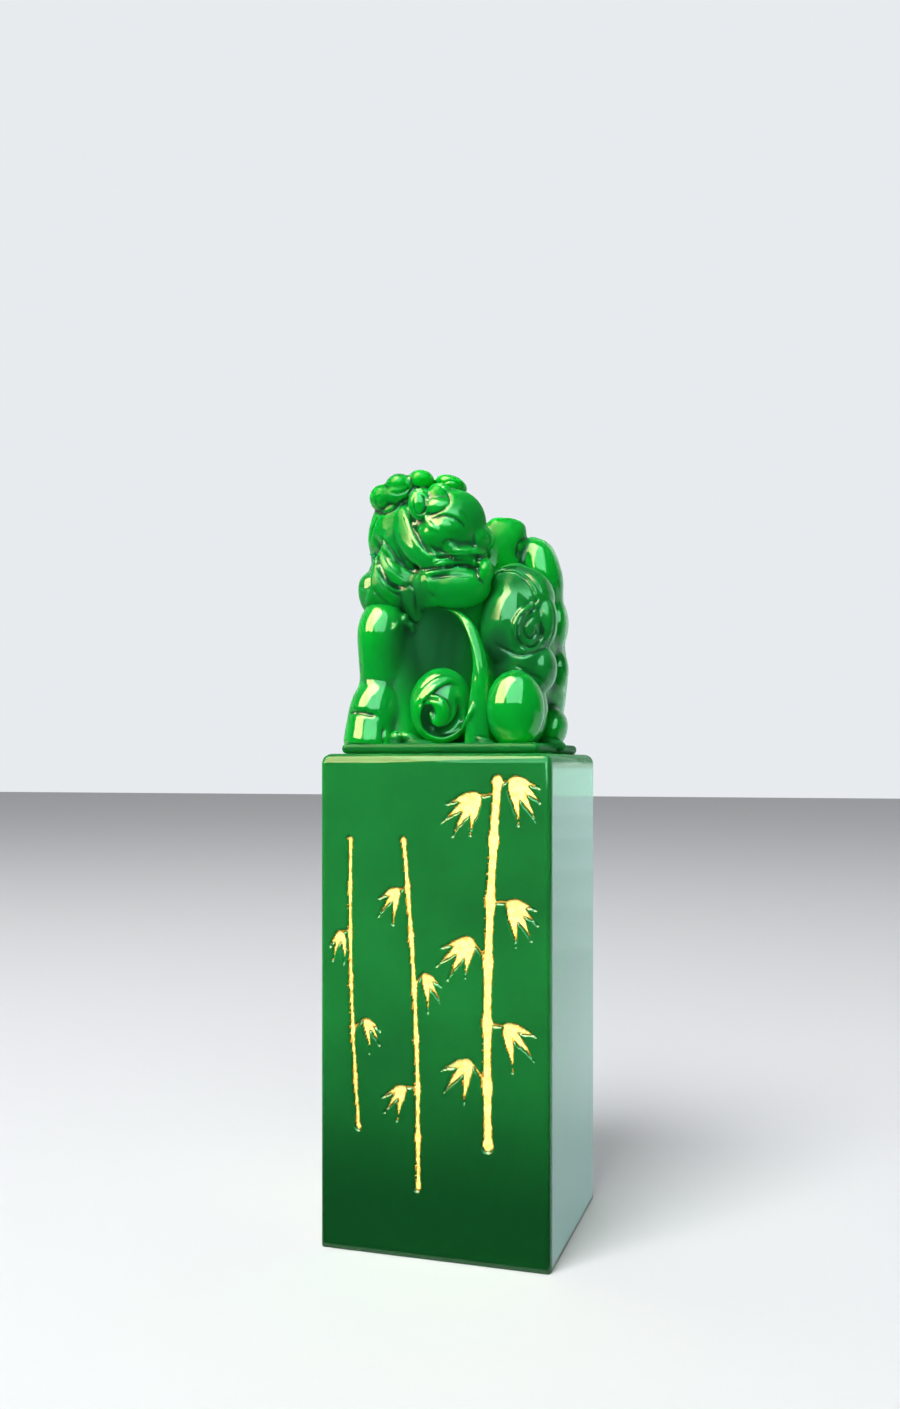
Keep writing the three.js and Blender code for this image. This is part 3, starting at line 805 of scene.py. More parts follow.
HEAD_LUMPS: Forms = {
    "left curl": Egg((383, 498.5), -3.2, (1.5, 2.1, 1.5), 12),
    "left curl's band": Egg((398, 495), -3.9, (2.0, 1.9, 1.25), -12),
    "second curl": Egg((398.5, 485), -3.9, (1.45, 1.9, 1.2), -12),
    "between the curls": Egg((410, 487), -3.8, (1.7, 1.8, 1.15)),
    "third curl": Egg((421, 481.3), -4.4, (1.5, 2.0, 1.2), 8),
    "forehead curl": Egg((439, 497), -6.7, (1.45, 1.6, 1.55), 20),
    "right curl": Egg((451, 485.5), -3.4, (1.85, 1.9, 1.05), 20),
    "ear": Egg((419.5, 504), -7.4, (1.25, 0.95, 1.7), 0, True),
    "eyeball": Egg((448, 527.5), -8.1, (1.75, 1.15, 1.05), 8, True),
    "brow": Egg((441, 508.5), -7.9, (1.75, 1.2, 1.1), 15, True),
    "brow's end": Egg((455, 515), -7.9, (1.5, 1.0, 0.8), 22, True),
    "whisker pad": Egg((450.5, 547), -7.9, (0.9, 0.65, 0.7), 0, True),
    "crown curl 1": Lump((-3.9, -1.6, 28.2), (1.7, 1.7, 1.6)),
    "crown curl 2": Lump((-6.5, -1, 27.6), (1.7, 1.7, 1.6)),
    "crown curl 3": Lump((-2, -0.4, 27.9), (1.7, 1.7, 1.6)),
    "crown curl 4": Lump((-4.8, 1.1, 27.0), (1.75, 1.75, 1.65)),
    "crown curl 5": Lump((-7.6, 1.4, 25.9), (1.6, 1.6, 1.5)),
    "crown curl 6": Lump((-0.4, 1.6, 26.6), (1.5, 1.5, 1.4)),
    "nape locks": Lock(
        ((-6.8, 1.4, 26.4, 0.7), (-6.6, 3.9, 24.6, 1.5), (-6.2, 5.9, 22, 1.55),
        (-5.6, 7.4, 19, 0.5)), 0.85, (0, 1, 0), 4, (2.2, 0.25, -0.1)),
    "flank locks": Lock(
        ((-9.0, -2.6, 22.6, 0.5), (-9.9, -1.9, 20.2, 1.3), (-9.8, -1.1, 17.2, 1.2),
        (-9.0, -0.2, 14.8, 0.4)), 0.7, (-1, 0, 0), 3, (0.35, 2.3, -0.2)),
}

HEAD_DETAILS: Forms = {
    "eye socket's edge": Laid(
        ((428.5, 508, -0.1, 0.2), (426.5, 514, -0.05, 0.28), (427.5, 520.5, -0.05, 0.32),
        (432, 526.5, -0.05, 0.34), (439, 530.5, -0.1, 0.26))),
    "upper lip's roll": Laid(
        ((433, 563.5, 0, 0.35), (443, 563, 0.05, 0.5), (456, 561, 0.05, 0.5), (468, 561, 0, 0.45),
        (479, 564, 0, 0.35))),
    "lower lip's roll": Laid(
        ((425, 574, -0.1, 0.3), (437, 572, 0, 0.42), (452, 570, 0, 0.42), (468, 570, -0.1, 0.3))),
    "leaf lock": Laid(
        ((380, 549, -0.3, 0.3), (384, 561, -0.05, 0.75), (391, 572, 0.05, 1.0), (400, 580, 0, 0.8),
        (409, 584, -0.1, 0.3)), 0.6),
}

HEAD_STROKES: Strokes = {
    "cheek's edge": Stroke(
        ((411, 517), (413.5, 526), (416.5, 534), (420.5, 542), (427, 549.5), (436, 554.5)), 0.5, 0.22,
        twin=True),
    "band's crest": Stroke(
        ((405, 512), (407.5, 522), (411, 532), (415.5, 541.5), (421, 549.5), (429, 556.5),
        (438, 560)), 0.36, 0.3, Cut.RIDGE),
    "mouth": Stroke(
        ((433, 555.5), (442, 556.5), (455, 557), (470, 556.5), (482, 556), (491, 555)), 0.5, 0.2,
        twin=True),
    "under the upper lip": Stroke(
        ((424, 569), (436, 568), (450, 566.5), (464, 566), (476, 567.5)), 0.35, 0.18),
    "under the lower lip": Stroke(((427, 578.5), (440, 576.5), (455, 575), (470, 575.5)), 0.22, 0.2),
    "lip end": Stroke(((478, 559), (477, 567), (478, 576), (484, 584)), 0.3, 0.2),
    "eyelid": Stroke(
        ((432, 519), (437, 517), (443, 515.5), (450, 516.5), (456, 519), (463, 524),
        (466, 530)), 0.34, 0.15, twin=True),
    "second lid line": Stroke(((460, 511), (466, 517), (470, 525)), 0.12, 0.13, twin=True),
    "brow's fold": Stroke(((431, 515), (437, 513), (442.5, 510), (447, 506)), 0.25, 0.14, twin=True),
    "forehead curl's edge": Stroke(
        ((434, 482), (442, 486), (448, 493), (450.5, 500), (449, 506)), 0.2, 0.14),
    "ear's groove": Stroke(
        ((415, 497), (413, 504), (415, 511.5), (419.5, 514.5), (424, 511.5), (426, 504), (424, 496.5),
        (419.5, 493.5)), 0.22, 0.12, twin=True),
    "whisker pad": Stroke(((442, 545), (445, 541), (450, 539.5), (455, 541.5)), 0.18, 0.13, twin=True),
    "cheek's lower fold": Stroke(
        ((431, 545), (439, 551), (452, 553), (465, 551.5)), 0.15, 0.12, twin=True),
    "nostril": Stroke(((486, 531), (489.5, 536), (490.5, 542), (488, 548)), 0.25, 0.15),
    "muzzle's fold": Stroke(((473, 533), (474.5, 541), (473.5, 549)), 0.16, 0.2),
    "neck's rim": Stroke(((378, 515), (371, 531), (366.5, 550), (364, 566)), 0.28, 0.2),
    "mane's edge, left": Stroke(
        ((381, 538), (375, 548), (369, 561), (366, 577), (365, 594)), 0.9, 0.5, Cut.STEP),
    "mane's edge, right": Stroke(
        ((381, 538), (387, 546), (392, 552), (399, 561), (408, 568), (417, 573)), 0.45, 0.2),
    "leaf lock's edge": Stroke(
        ((378.5, 551), (378, 563), (383, 575), (390, 583.5), (398, 587.5), (407, 586)), 0.55, 0.24),
    "jaw's underside": Stroke(((414, 603), (422, 611.5), (438, 614), (453, 611), (470, 607)), 0.2, 0.2),
    "throat's edge": Stroke(((408, 582), (413, 591), (415, 603), (417, 616)), 0.3, 0.16),
    "chin's fold": Stroke(((424, 580), (428, 590), (436, 598)), 0.16, 0.2),
    "lip's inner line": Stroke(((433, 565), (440, 561), (452, 560), (464, 560.5)), 0.16, 0.1),
    "neck's inner line": Stroke(((397, 549), (402, 559), (410, 567), (418, 571)), 0.2, 0.12),
    "curl's fold": Stroke(((407, 497), (413, 489), (419, 487)), 0.25, 0.14),
    "hind curl's ring": Stroke(((379, 494), (376, 500), (379, 507), (386, 509)), 0.12, 0.12),
    "leaf lock's vein": Stroke(((384, 555), (391, 566), (397, 572), (404, 577)), 0.18, 0.12),
    "lower mane's fold": Stroke(((377, 574), (385, 585), (393, 592), (402, 596)), 0.3, 0.2),
    "lower mane's second fold": Stroke(((372, 588), (380, 598), (391, 604)), 0.2, 0.2),
    "mane's foot": Stroke(((356, 624), (368, 622.5), (382, 618.5), (398, 611)), 0.4, 0.25),
    "right curl's ring": Stroke(
        ((441, 487), (447, 481.5), (456, 482), (462, 487), (458, 491), (450, 489)), 0.18, 0.12),
    "between the curls": Stroke(((390, 492), (398, 494), (406, 491), (410, 486)), 0.25, 0.18),
    "second gap": Stroke(((410, 475), (411, 483), (416, 489), (424, 490.5)), 0.25, 0.18),
    "under the curls": Stroke(((373, 510), (384, 513), (395, 508), (407, 498)), 0.4, 0.24),
}

# The third number of each oval is painted shade: under the curls, on the throat and lower mane, the
# forehead, muzzle and cheek. The fourth is duller polish.
HEAD_SHADES: Shades = {
    "curls": Shade((391, 492), (24, 14), 0.15, 0.93, -12),
    "third curl": Shade((423, 481), (16, 10), 0, 0.85),
    "forehead curl": Shade((442, 490), (12, 9), 0, 0.93),
    "right curl": Shade((455, 485), (16, 9), 0, 0.75),
    "neck": Shade((388, 530), (19, 34), 0.1, 0.93, 10),
    "band": Shade((402, 524), (9.5, 23), 0, 0.93),
    "lower mane": Shade((372, 590), (18, 34), 0.45, 0.8),
    "throat": Shade((413, 604), (16, 30), 0.7, 0.95),
    "jaw": Shade((450, 592), (42, 20), 0.1, 0.93),
    "lips": Shade((460, 566), (34, 8), 0.1, 0.7),
    "cheek": Shade((434, 543), (18, 11), 0.2, 0.8),
    "muzzle": Shade((472, 540), (20, 20), 0.3, 0.85),
    "forehead": Shade((474, 512), (16, 30), 0.4, 0.97, -15),
    "above the brow": Shade((458, 501), (12, 8), 0.1, 0.93),
    "leaf lock": Shade((393, 566), (16, 22), 0.15, 0.55),
}


# The cub

CUB_MASSES: Forms = {
    "torso": Egg((519, 656), -3.6, (3.3, 4.2, 5.4)),
    "seat": Egg((518, 711), -4.2, (3.3, 4.0, 4.6)),
    "hair": Egg((514, 598), -4.0, (3.1, 3.2, 3.75)),
    "hair right": Egg((527, 601), -4.1, (3.1, 3.2, 3.55)),
    "shoulder": Egg((539, 669), -4.4, (2.0, 3, 2.75)),
    "head": Egg((508.5, 625), -5.4, (3.1, 2.9, 4.6), 3),
    "ear": Egg((545, 619), -4.9, (1.35, 2.4, 3.0), -4),
    "cheek": Egg((527, 624), -6.2, (1.5, 1.6, 2.2), 8),
}

CUB_DETAILS: Forms = {
    "hair's rim": Laid(
        ((491, 583, -0.1, 0.2), (500, 572, 0, 0.3), (514, 566, 0, 0.32), (529, 570.5, 0, 0.3),
        (543, 585, -0.1, 0.2))),
    "temple lock": Laid(
        ((540, 600, -0.1, 0.2), (533, 606, 0, 0.35), (523, 612, 0, 0.45), (516, 624, 0, 0.5),
        (516, 637, 0, 0.35))),
}

CUB_STROKES: Strokes = {
    "hair, first line": Stroke(
        ((489, 575), (499, 569.5), (513, 568), (526, 573), (536, 583), (542, 594)), 0.3, 0.13),
    "hair, second line": Stroke(
        ((490, 583), (497, 574), (511, 571.5), (523, 577), (532, 588), (536, 600)), 0.26, 0.13),
    "head's edge": Stroke(((536, 598), (536, 606), (531, 612)), 0.3, 0.2),
    "swirl": Stroke(
        ((530, 610), (522, 617), (518, 628), (519, 639), (527, 646), (537, 644), (542, 634),
        (541, 622)), 0.42, 0.2),
    "inner swirl": Stroke(
        ((533, 617), (526.5, 623), (525, 632), (530, 638), (536, 634), (536, 626)), 0.28, 0.15),
    "ear's edge": Stroke(((540, 596), (549, 601), (554, 612), (554, 629), (549, 643)), 0.14, 0.14),
    "jaw": Stroke(((495, 644), (505, 650), (520, 655), (535, 652), (548, 647)), 0.3, 0.22),
    "flank": Stroke(((512, 664), (525, 670), (537, 677), (544, 684)), 0.16, 0.2),
}

# The third number of each oval is painted shade: the recess beside the cub, its temple and hair, and over
# the whole cub a darker cast that stands both for its darker stone and for the painted shade it sits in.
# The fourth is duller polish.
CUB_SHADES: Shades = {
    "recess": Shade((497, 655), (16, 34), 1.0, 1.0),
    "temple": Shade((488, 605), (10, 36), 0.7, 1.0),
    "edge": Shade((550, 650), (12, 70), 0.25, 0.2),
    "hair": Shade((516, 574), (32, 17), 0.75, 0.95),
    "all": Shade((520, 620), (60, 100), 0.55, 0.15),
}


# The scroll, and the ridge that runs down to it

SCROLL_MASSES: Forms = {
    "boss": Egg((440.5, 705), -5.7, (3.4, 2.5, 4.05), 8),
    "ridge": Roll(
        ((446, 609, -5.8, 0.15), (457, 613, -6.7, 0.32), (468, 624, -7.6, 0.5), (475.5, 641, -8.2, 0.66),
        (480, 662, -8.5, 0.8), (480, 684, -8.6, 0.98), (479, 706, -8.5, 1.15), (478, 728, -8.4, 1.35),
        (477, 748, -8.4, 1.4))),
}

SCROLL_DETAILS: Forms = {
    "rim": Laid(
        ((462, 688, -0.3, 0.3), (452, 680.5, -0.15, 0.45), (441, 681, -0.05, 0.55),
        (430, 689, 0.05, 0.64), (421.5, 700, 0.05, 0.66), (417.5, 712, 0.05, 0.64), (419, 724, 0.05, 0.6),
        (427, 734, 0.05, 0.55), (439, 738.5, 0.05, 0.5), (452, 736, 0.05, 0.48), (463, 727, 0.05, 0.44),
        (470, 715, 0, 0.36), (473, 703, -0.15, 0.2))),
    "hook": Laid(
        ((421, 703, -0.1, 0.45), (430, 700, 0.1, 0.55), (438, 703, 0.2, 0.75), (442, 711, 0.2, 0.85),
        (439, 719.5, 0.15, 0.7), (432.5, 722, 0, 0.35))),
}

SCROLL_STROKES: Strokes = {
    "channel": Stroke(
        ((431, 708), (426, 713), (425.5, 721), (430, 728.5), (439, 731.5), (449, 729), (457, 722),
        (461, 712), (459, 702)), 0.95, 0.42),
    "hook's top": Stroke(((420.5, 705), (426, 699.5), (433, 698), (440, 700)), 0.4, 0.2),
    "hook's underside": Stroke(((431, 711), (434, 716), (432, 719)), 0.3, 0.2),
    "rim's crest": Stroke(
        ((452, 680), (438, 685.5), (428, 694), (421, 705), (419, 717), (422, 728), (430, 735.5),
        (441, 738.5), (452, 736), (462, 728), (468.5, 716), (471, 706)), 0.35, 0.2, Cut.RIDGE),
    "ridge's left edge": Stroke(
        ((449, 613), (461, 619), (468, 631), (473, 645), (476, 657), (478.5, 671),
        (479, 683)), 0.16, 0.18, Cut.RIDGE),
}

# The third number of each oval is painted shade on the ridge and the boss's top; the fourth is duller
# polish.
SCROLL_SHADES: Shades = {
    "ridge": Shade((470, 640), (14, 30), 0.1, 0.5, -20),
    "ridge's foot": Shade((479, 725), (9, 30), 0.1, 0.7),
    "top": Shade((455, 675), (20, 10), 0.2, 0.6),
}


# The slab under the figures, and the leaves on it

SLAB_FORMS: Forms = {
    "slab": Plate(1.1, 0.5),
    "leaf 1": Egg((396, 738), -7.2, (0.7, 0.9, 0.75)),
    "leaf 2": Egg((410, 738.5), -7.6, (1.25, 0.9, 0.55), 28),
    "leaf 3": Egg((422, 744), -8.2, (1.6, 0.9, 0.5), 8),
    "small curl": Egg((485, 742), -9.4, (1.3, 0.8, 0.5), 25),
    "leaf wedge": Egg((552, 744), -3.2, (1.6, 2.2, 0.7), 14),
}

# The third number paints shade on the slab's front band under the figures; the fourth dulls its polish.
SLAB_SHADES: Shades = {
    "front": Shade((440, 747), (260, 12), 0.8, 0.9),
}


@dataclass(frozen=True)
class Layer:
    """Forms that are pressed on together, with the skin's mesh size and smoothing after them."""

    forms: Forms
    grain: float
    rounds: int
    strength: float = 0.5


@dataclass(frozen=True)
class Carving:
    """How a piece of the knob is carved, and the nodes of the frame that it stands for."""

    nodes: tuple[str, ...]
    layers: tuple[Layer, ...]
    strokes: Strokes
    shades: Shades


BODY_NODES = (
    "lioness_body",
    "lioness_foreleg",
    "near_haunch",
    "near_hind_leg",
    "far_hind_leg",
    "tail_tuft",
    "tail_flames",
)
HEAD_NODES = ("lioness_head", "lioness_jaw", "crown_curls", "lioness_mane", "nape_locks")

CARVINGS: dict[str, Carving] = {
    "lioness_body_and_legs": Carving(
        BODY_NODES,
        (Layer(BODY_MASSES, 0.28, 10, 0.6), Layer(BODY_DETAILS, 0.18, 3)),
        BODY_STROKES,
        BODY_SHADES,
    ),
    "lioness_head_and_mane": Carving(
        HEAD_NODES,
        (
            Layer(HEAD_MASSES, 0.2, 10, 0.6),
            Layer(HEAD_LUMPS, 0.13, 5),
            Layer(HEAD_DETAILS, 0.132, 2),
        ),
        HEAD_STROKES,
        HEAD_SHADES,
    ),
    "cub": Carving(
        ("cub_head", "cub_body"),
        (Layer(CUB_MASSES, 0.2, 8, 0.6), Layer(CUB_DETAILS, 0.11, 2)),
        CUB_STROKES,
        CUB_SHADES,
    ),
    "cub_haunch_egg": Carving(
        ("cub_haunch",), (Layer({"egg": Egg((515, 709.5), -8.8, (3.15, 2.7, 4.2))}, 0.16, 2),), {}, {}
    ),
    "scroll": Carving(
        ("scroll_boss", "cub_tail"),
        (Layer(SCROLL_MASSES, 0.16, 4), Layer(SCROLL_DETAILS, 0.11, 2)),
        SCROLL_STROKES,
        SCROLL_SHADES,
    ),
    "knob_plinth_slab": Carving(
        ("knob_plinth",), (Layer(SLAB_FORMS, 0.14, 4),), {}, SLAB_SHADES
    ),
}


@dataclass(frozen=True)
class Knob:
    """The lioness, her cub and what they sit on."""

    stone: bpy.types.Material

    def build(self) -> None:
        """Carves, dresses and declares every piece of the knob."""
        for name, carving in CARVINGS.items():
            clay = Clay(name)
            for layer in carving.layers:
                clay.add(layer.forms)
                clay.fuse(layer.grain, layer.rounds, layer.strength)
            clay.carve(carving.strokes)
            declare(clay.finish(carving.shades), self.stone, carving.nodes)


def declare(
    piece: bpy.types.Object, material: bpy.types.Material, nodes: Sequence[str]
) -> None:
    """Dresses a piece and ties it to the frame.

    Args:
        piece: the finished piece.
        material: its material.
        nodes: the nodes of the frame that it stands for.
    """
    piece.data.materials.clear()
    piece.data.materials.append(material)
    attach(piece, BODY)
    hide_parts(*nodes)
    LOG.info("%s: %d faces", piece.name, len(piece.data.polygons))


# The column, and the gilded engraving on its front


Trace = Sequence[Point]


@dataclass(frozen=True)
class Culm:
    """A bamboo stem: canes one above the other, from its foot to its tip on the front face."""

    foot: Pair
    tip: Pair
    canes: int
    width: float
    sway: float
    gap: float = 0.42
    neck: float = 0.35
    flare: tuple[Pair, ...] = ((0, 1.25), (0.14, 0.95), (0.5, 0.88), (0.86, 0.95), (1, 1.2))

    def at(self, share: float) -> Pair:
        """Gives the place at a share of its height.

        Args:
            share: the share, from 0 at its foot to 1 at its tip.

        Returns:
            The place on the front face.
        """
        bow = self.sway * math.sin(share * math.pi)
        across = self.foot[0] + (self.tip[0] - self.foot[0]) * share + bow
        return across, self.foot[1] + (self.tip[1] - self.foot[1]) * share

    def traces(self) -> list[Trace]:
        """Lists its canes, and the narrow necks between them.

        Returns:
            Lines of x, z and half width.
        """
        half = self.width / 2
        lines = []
        for number in range(self.canes):
            (x0, z0), (x1, z1) = self.at(number / self.canes), self.at((number + 1) / self.canes)
            rise = z1 - self.gap - z0
            lines.append([(x0 + (x1 - x0) * t, z0 + rise * t, half * wide) for t, wide in self.flare])
            if number:
                lines.append([(x0, z0 - self.gap, half * self.neck), (x0, z0, half * self.neck)])
        return lines


@dataclass(frozen=True)
class Spray:
    """Bamboo leaves that hang from the end of one twig."""

    stem: Pair
    root: Pair
    fan: Pair
    lengths: tuple[float, ...]
    width: float
    twig: float = 0.17
    twig_foot: float = 1.2
    tip: float = 0.1
    curve: float = 9
    steps: int = 9
    lead: float = 0.04
    fullness: float = 0.6

    def leaf(self, angle: float, length: float) -> Trace:
        """Draws one leaf.

        Args:
            angle: its angle from straight down, in degrees.
            length: its length.

        Returns:
            A line of x, z and half width.
        """
        x, z = self.root
        droop = self.curve if angle < 0 else -self.curve
        line = []
        for step in range(self.steps + 1):
            share = step / self.steps
            swell = math.sin(math.pi * min(share + self.lead, 1) ** self.fullness)
            line.append((x, z, max(self.width / 2 * swell, self.tip)))
            turn = math.radians(angle + droop * (share - 0.5) * 2)
            x += math.sin(turn) * length / self.steps
            z -= math.cos(turn) * length / self.steps
        return line

    def traces(self) -> list[Trace]:
        """Lists its twig and its leaves.

        Returns:
            Lines of x, z and half width.
        """
        angles = np.linspace(*self.fan, len(self.lengths)).tolist()
        twig = [(*self.stem, self.twig * self.twig_foot), (*self.root, self.twig)]
        return [twig, *(self.leaf(angle, length) for angle, length in zip(angles, self.lengths))]


ENGRAVING: dict[str, Culm | Spray] = {
    "culm": Culm((5.9, 12.4), (6.9, 50.2), 6, 1.15, -0.5),
    "slim culm": Culm((-1.6, 7.4), (-3.2, 44), 7, 0.72, 0.5),
    "shoot": Culm((-8.2, 13.2), (-9.1, 44), 6, 0.62, -0.4),
    "spray 1": Spray((6.7, 49.2), (8.2, 49.9), (10, 74), (4.8, 5.2, 4.2, 3.2), 1.15),
    "spray 2": Spray((6.6, 48.4), (5, 48.3), (-74, -12), (3.6, 5, 5.2, 4.2), 1.15),
    "spray 3": Spray((6.2, 37.4), (8, 37.4), (10, 76), (4.6, 4.6, 3.8, 3), 1.1),
    "spray 4": Spray((5.9, 31.2), (4.3, 33.4), (-74, -10), (3.4, 4.8, 5, 4), 1.1),
    "spray 5": Spray((5.8, 24.8), (7.6, 24.8), (10, 74), (4.8, 4.6, 3.6), 1.1),
    "spray 6": Spray((5.7, 18.8), (4.1, 20.9), (-70, -8), (3.4, 4.6, 4.6), 1.05),
    "spray 7": Spray((-2.5, 38.6), (-3.7, 38.4), (-64, -8), (2.4, 3.6, 3.8), 0.85),
    "spray 8": Spray((-2.0, 28.4), (-1.1, 29.6), (8, 60), (4, 3.4, 2.4), 0.85),
    "spray 9": Spray((-1.6, 17.8), (-3, 17.8), (-62, -12), (2.8, 3.6, 3.8), 0.85),
    "spray 10": Spray((-9.1, 33.8), (-10.1, 33.8), (-34, 4), (2.4, 3.4, 3.6), 0.75),
    "spray 11": Spray((-8.8, 23.4), (-7.6, 24.6), (10, 58), (3.6, 3.2, 2.2), 0.75),
}

CHIPS = ((-11.6, 0, 0.42), (-10.4, -0.05, 0.36), (-8.1, -0.1, 0.45), (3.4, -0.1, 0.4))


@dataclass(frozen=True)
class Column:
    """The square column, in millimetres."""

    side: float
    height: float
    shoulder: float = 1.0
    upright: float = 0.7
    foot: float = 0.25
    rounding_steps: int = 8
    rim: float = 0.25
    cut_depth: float = 0.9
    cut_width: float = 1.0
    border_inset: float = 1.4
    spiral_arms: int = 6
    spiral_land: float = 0.75
    spiral_margin: float = 0.8
    chip_out: float = 0.35
    sharp_angle: float = 35
    panel_inset: float = 0.375
    flatness: float = 0.001
    level: float = 0.01
    splits: int = 13
    groove_depth: float = 0.4
    groove_edge: float = 0.02
    wall: float = 0.14
    stroke_reach: float = 1.0
    wobble: float = 0.08
    wobble_reach: float = 0.5
    wobble_scale: float = 1.7
    tremor: float = 0.6
    tremor_scale: float = 4.5
    tremor_layer: float = 5
    gold_reach: float = -0.02
    gold_thickness: float = 0.09
    shoulder_dull: float = 0.55

    def blank(self) -> bpy.types.Object:
        """Shapes the stone with its rounded edges.

        Returns:
            The stone.
        """
        stone = merge([block((0, 0, self.height / 2), (self.side, self.side, self.height))])
        heights = rows(stone.data, "co")[:, 2]
        widths = []
        for edge in stone.data.edges:
            low, high = sorted(heights[list(edge.vertices)])
            level = self.shoulder if low > self.side else self.foot
            widths.append(self.upright if high - low > self.side else level)
        largest = max(widths)
        store(stone.data, "bevel_weight_edge", [width / largest for width in widths], "EDGE")
        modify(stone, "BEVEL", limit_method="WEIGHT", width=largest, segments=self.rounding_steps)
        return stone

    def frame_sides(self, stone: bpy.types.Object) -> None:
        """Gives each side a narrow flat frame, so that the rounded edges don't shade it.

        Args:
            stone: the stone.
        """
        pick_faces(
            stone, lambda face: abs(face.normal.z) < self.level and face.area > self.side * self.side
        )
        bpy.ops.mesh.inset(thickness=self.rim, use_individual=True)
        bpy.ops.mesh.select_all(action="SELECT")
        bpy.ops.mesh.bisect(plane_co=(0, 0, self.height / 2), plane_no=(0, 0, 1))

    def printing_cuts(self) -> list[tuple[float, float, float, float]]:
        """Lists the cuts of the printing face: a border line round four square spirals.

        Returns:
            The lowest and highest x and y of each cut.
        """
        outer = self.side / 2 - self.border_inset
        inner = outer - self.cut_width
        cuts = [
            (-outer, inner, outer, outer),
            (-outer, -outer, outer, -inner),
            (-outer, -outer, -inner, outer),
            (inner, -outer, outer, outer),
        ]
        pitch = self.cut_width + self.spiral_land
        left = self.spiral_margin / 2
        low, high = left, inner - self.spiral_margin
        right = high
        for arm in range(self.spiral_arms):
            x0, y0, x1, y1 = (
                (left, high - self.cut_width, right, high),
                (right - self.cut_width, low, right, high),
                (left, low, right, low + self.cut_width),
                (left, low, left + self.cut_width, high - pitch),
            )[arm % 4]
            for across in (1, -1):
                for along in (1, -1):
                    xs, ys = sorted((x0 * across, x1 * across)), sorted((y0 * along, y1 * along))
                    cuts.append((xs[0], ys[0], xs[1], ys[1]))
            if arm % 4 == 3:
                right -= pitch
                low += pitch
                high -= pitch
        return cuts

    def cut_printing_face(self, stone: bpy.types.Object) -> None:
        """Cuts the printing face, knocks chips off the foot's front edge, and keeps the cuts sharp.

        Args:
            stone: the stone.
        """
        tools = [
            block(((x0 + x1) / 2, (y0 + y1) / 2, 0), (x1 - x0, y1 - y0, self.cut_depth * 2))
            for x0, y0, x1, y1 in self.printing_cuts()
        ]
        for x, z, size in CHIPS:
            select()
            y = -self.side / 2 - size * self.chip_out
            bpy.ops.mesh.primitive_ico_sphere_add(subdivisions=2, radius=size, location=(x, y, z))
            tools.append(bpy.context.object)
        cutter = merge(tools)
        modify(stone, "BOOLEAN", operation="DIFFERENCE", solver="EXACT", use_self=True, object=cutter)
        bpy.data.objects.remove(cutter)
        bpy.ops.object.mode_set(mode="EDIT")
        bpy.ops.mesh.select_mode(type="EDGE")
        bpy.ops.mesh.select_all(action="DESELECT")
        bpy.ops.mesh.edges_select_sharp(sharpness=math.radians(self.sharp_angle))
        bpy.ops.mesh.mark_sharp()

    def divide_front(self, stone: bpy.types.Object) -> None:
        """Gives the front face a fine mesh, so that strokes can be cut into it.

        Args:
            stone: the stone.
        """
        least = self.side * self.height / 3
        pick_faces(stone, lambda face: face.normal.y < self.level - 1 and face.area > least)
        bpy.ops.mesh.subdivide(number_cuts=self.splits)
        bpy.ops.mesh.subdivide(number_cuts=self.splits)

    def stroke_distance(self, places: np.ndarray) -> np.ndarray:
        """Works out how far points of the front face are from the strokes' edges.

        Args:
            places: one row of x, y and z for each point.

        Returns:
            One distance for each point, below zero inside a stroke.
        """
        flat = places[:, (0, 2)]
        away = np.full(len(flat), FAR)
        for line in (np.array(trace) for mark in ENGRAVING.values() for trace in mark.traces()):
            low = line[:, :2].min(axis=0) - self.stroke_reach
            high = line[:, :2].max(axis=0) + self.stroke_reach
            near = np.nonzero(((flat > low) & (flat < high)).all(axis=1))[0]
            for start, end in zip(line[:-1], line[1:]):
                lean = end[:2] - start[:2]
                offset = flat[near] - start[:2]
                share = np.clip(offset @ lean / (lean @ lean), 0, 1)
                gap = np.linalg.norm(offset - share[:, None] * lean, axis=1)
                gap -= start[2] + (end[2] - start[2]) * share
                away[near] = np.minimum(away[near], gap)
        wide, fine = self.wobble_scale, self.tremor_scale
        for index in np.nonzero(away < self.wobble_reach)[0]:
            x, z = flat[index]
            tremor = noise.noise((x * fine, z * fine, self.tremor_layer)) * self.tremor
            away[index] += self.wobble * (noise.noise((x * wide, z * wide, 0)) + tremor)
        return away

    def engrave(self, stone: bpy.types.Object) -> np.ndarray:
        """Cuts the strokes into the front face.

        Args:
            stone: the stone.

        Returns:
            Each point's distance from the strokes' edges.
        """
        places = rows(stone.data, "co")
        x, y, z = places.T
        inset = self.panel_inset
        panel = (y < self.flatness - self.side / 2) & (abs(x) < self.side / 2 - self.upright - inset)
        panel &= (z > self.foot + inset) & (z < self.height - self.shoulder - inset)
        distance = np.full(len(places), FAR)
        distance[panel] = self.stroke_distance(places[panel])
        share = np.clip((self.groove_edge - distance) / self.wall, 0, 1)
        places[:, 1] += self.groove_depth * share * share * (3 - 2 * share)
        move_points(stone.data, places)
        store(stone.data, "distance", distance)
        dull = np.where(z > self.height - self.shoulder, self.shoulder_dull, 0)
        store(stone.data, "dull", dull)
        return distance

